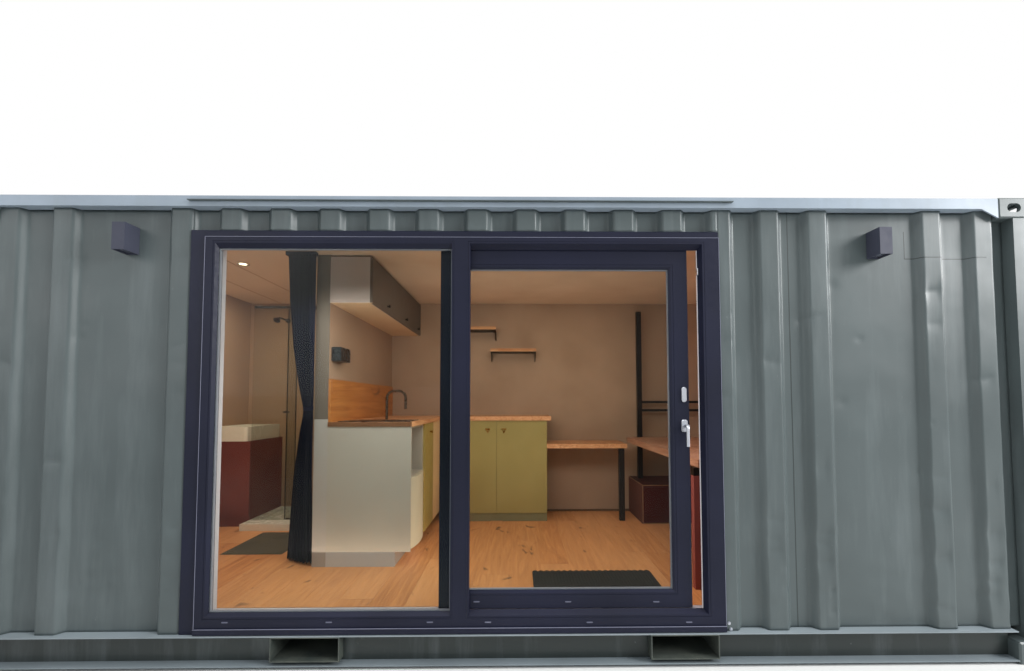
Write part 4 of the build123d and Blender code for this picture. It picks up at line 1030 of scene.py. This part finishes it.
def hang_curtain():
    low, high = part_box("curtain")
    drop = high[Z] - low[Z]
    corner_x, corner_y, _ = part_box("partition_wall")[0]
    rows, columns = CURTAIN_STEPS
    chance = random.Random(7)
    fold_sizes = [SMALLEST_FOLD + FOLD_SPREAD * chance.random() for number in range(CURTAIN_FOLDS + 1)]
    shape = bmesh.new()
    grid = []
    for row in range(rows + 1):
        share = row / rows
        left, right, depth, reach, turn = curtain_row(share)
        line = []
        for column in range(columns + 1):
            across = column / columns
            fold = across * CURTAIN_FOLDS
            first = int(min(fold, CURTAIN_FOLDS - 1))
            size = fold_sizes[first] + (fold_sizes[first + 1] - fold_sizes[first]) * (fold - first)
            edge = min(1.0, 6 * min(across, 1 - across) + 0.25)
            wave = math.sin(2 * math.pi * fold + 0.5 * math.sin(3 * share + first))
            lean = 0.3 * (right - left) / CURTAIN_FOLDS * math.sin(4 * math.pi * fold)
            x = left + (right - left) * across
            y = depth + turn * (x - (left + right) / 2) + reach * size * edge * wave
            line.append(shape.verts.new((corner_x + x + lean, corner_y + y, low[Z] + share * drop)))
        grid.append(line)
    stitch(shape, grid)
    curtain = new_piece("curtain_cloth", shape, "curtain", smooth=True)
    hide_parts("curtain")
    left, right, depth, reach, turn = curtain_row(TIE_SHARE)
    shape = bmesh.new()
    band = []
    for level in (-TIE_WIDTH, 0.0, TIE_WIDTH):
        grow = 0.003 - abs(level) * 0.05
        centre = ((left + right) / 2 + corner_x, depth + corner_y, low[Z] + TIE_SHARE * drop + level)
        band.append(add_oval(shape, centre, (right - left) / 2 + grow, reach + grow, TIE_SIDES, 0.004))
    stitch(shape, band, closed=True)
    tie = new_piece("curtain_tie", shape, "curtain", smooth=True)


DOOR_MAT_X = (0.215, 1.005)
DOOR_MAT_Y = (inward(0.260), inward(0.598))
DOOR_MAT_BASE = 0.006
DOOR_MAT_TOP = 0.008
SCALLOPS = 20
SCALLOP_STEPS = SCALLOPS * 8
SCALLOP_DEPTH = 0.022
MAT_RIBS = 38


def door_mat():
    """Ribbed rubber mat inside the door, with a scalloped far edge."""
    floor = high_of("floor_boards", Z)
    low_x, high_x = DOOR_MAT_X
    near_y, far_y = DOOR_MAT_Y
    outline = [(low_x, near_y), (high_x, near_y)]
    for number in range(SCALLOP_STEPS + 1):
        share = number / SCALLOP_STEPS
        bulge = SCALLOP_DEPTH * abs(math.sin(math.pi * SCALLOPS * share))
        outline.append((high_x - (high_x - low_x) * share, far_y + bulge))
    shape = bmesh.new()
    base, top = ([shape.verts.new((x, y, floor + rise)) for x, y in outline]
                 for rise in (0.0, DOOR_MAT_BASE))
    stitch(shape, [base, top], closed=True)
    shape.faces.new(base[::-1])
    shape.faces.new(top)
    for number in range(MAT_RIBS):
        x = low_x + 0.02 + (high_x - low_x - 0.04) * number / (MAT_RIBS - 1)
        add_block(shape, (x - 0.005, near_y + 0.015, floor + DOOR_MAT_BASE),
                  (x + 0.005, far_y - 0.012, floor + DOOR_MAT_TOP), 0.0008)
    new_piece("door_mat", shape, "rubber")


BATH_MAT_X = (-2.120, -1.656)
BATH_MAT_Y = (inward(0.985), inward(1.563))
BATH_MAT_STEPS = (32, 40)
PILE = 0.008
PILE_WAVES = 0.0015
PILE_EDGE = 0.0005


def bath_mat():
    """Short-pile cloth mat in front of the shower."""
    floor = high_of("floor_boards", Z)
    low_x, high_x = BATH_MAT_X
    near_y, far_y = BATH_MAT_Y
    across, along = BATH_MAT_STEPS
    shape = bmesh.new()
    grid = []
    for row in range(along + 1):
        line = []
        for column in range(across + 1):
            x = low_x + (high_x - low_x) * column / across
            y = near_y + (far_y - near_y) * row / along
            rise = PILE + PILE_WAVES * noise.noise(Vector((x * 14, y * 14, 2.0)))
            if min(column, across - column, row, along - row) == 0:
                rise = PILE_EDGE
            line.append(shape.verts.new((x, y, floor + rise)))
        grid.append(line)
    stitch(shape, grid)
    mat = new_piece("bath_mat", shape, "bath_mat", smooth=True)


# Light, floor and backdrop. Each lamp: name, place, what it points at, size, power, colour and,
# where it is narrow, its spread
WARM = (1.0, 0.86, 0.70)
SOFT_LIGHT = 0.26
STUDIO_LAMPS = [
    ("key", (9.5, -5.0, 5.0), (0, -1.2, 1.2), (3.5, 3.5), 870, WHITE),
    ("fill", (-6.0, -7.0, 3.5), (0, -1.2, 1.2), (6, 4), 75, WHITE),
    ("top", (0, -2.6, 8.0), (0, -0.8, 1.0), (8, 4), 420, WHITE),
]
ROOM_LAMPS = [
    ("daylight", (0.0, inward(0.34), 1.95), (0.0, inward(1.7), 0.35), (2.7, 0.5), 23,
     (1.0, 0.93, 0.90)),
    ("bounce", (-0.8, inward(1.0), 0.34), (-0.8, inward(1.3), 2.0), (3.6, 0.9), 16,
     (1.0, 0.80, 0.66)),
    ("bath", (-2.0, inward(1.2), 2.44), (-2.0, inward(1.3), 0), (0.9, 1.2), 24, WARM),
    ("room", (0.3, inward(1.1), 2.44), (0.3, inward(1.2), 0), (1.6, 1.3), 10, WARM),
    ("reveal", (-0.45, inward(0.36), 1.3), (-1.6, inward(0.06), 1.3), (0.3, 1.9), 1.4,
     (1.0, 0.95, 0.94), 0.9),
]


def add_lamp(name, place, target, size, power, colour, spread=math.pi):
    data = bpy.data.lights.new(name, "AREA")
    data.shape = "RECTANGLE"
    data.size, data.size_y = size
    data.energy = power
    data.color = colour
    data.spread = spread
    lamp = bpy.data.objects.new(name, data)
    lamp.location = place
    aim = Vector(target) - Vector(place)
    lamp.rotation_euler = aim.to_track_quat("-Z", "Y").to_euler()
    lamp.visible_camera = False
    scene.collection.objects.link(lamp)
    return lamp


def add_lamps():
    for row in STUDIO_LAMPS:
        add_lamp(*row)
    for row in ROOM_LAMPS:
        add_lamp(*row).visible_glossy = False


def add_world():
    """Soft light from all round, which the camera, mirrors and glass see as plain white."""
    world = bpy.data.worlds.new("studio")
    scene.world = world
    world.use_nodes = True
    tree = world.node_tree
    lit = tree.nodes["Background"]
    surface = lit.outputs[0].links[0].to_socket
    fill(lit, Color=srgb((232, 238, 246)), Strength=SOFT_LIGHT)
    white = tree.nodes.new("ShaderNodeBackground")
    fill(white, Color=(*WHITE, 1.0))
    paths = tree.nodes.new("ShaderNodeLightPath")
    seen = paths.outputs["Is Camera Ray"]
    for ray in ("Is Transmission Ray", "Is Glossy Ray"):
        either = tree.nodes.new("ShaderNodeMath")
        either.operation = "MAXIMUM"
        tree.links.new(seen, either.inputs[0])
        tree.links.new(paths.outputs[ray], either.inputs[1])
        seen = either.outputs[0]
    mix = tree.nodes.new("ShaderNodeMixShader")
    for source, socket in zip((seen, lit.outputs[0], white.outputs[0]), mix.inputs):
        tree.links.new(source, socket)
    tree.links.new(mix.outputs[0], surface)


def add_floor():
    shape = bmesh.new()
    bmesh.ops.create_grid(shape, x_segments=1, y_segments=1, size=40)
    mesh = from_bmesh(shape, "studio_floor")
    floor = bpy.data.objects.new("studio_floor", mesh)
    scene.collection.objects.link(floor)
    mesh.materials.append(Finish((236, 236, 234), 0.8).material)


scene.view_settings.view_transform = "Standard"
add_camera()
dress_nodes()
for wall in ("front_wall_left", "front_wall_right", "front_wall_over_window"):
    pressed_wall(wall)
window_trim()
lamp_lenses()
ceiling_spot()
furniture_trim()
shower_trim()
hang_curtain()
door_mat()
bath_mat()
add_world()
add_lamps()
add_floor()
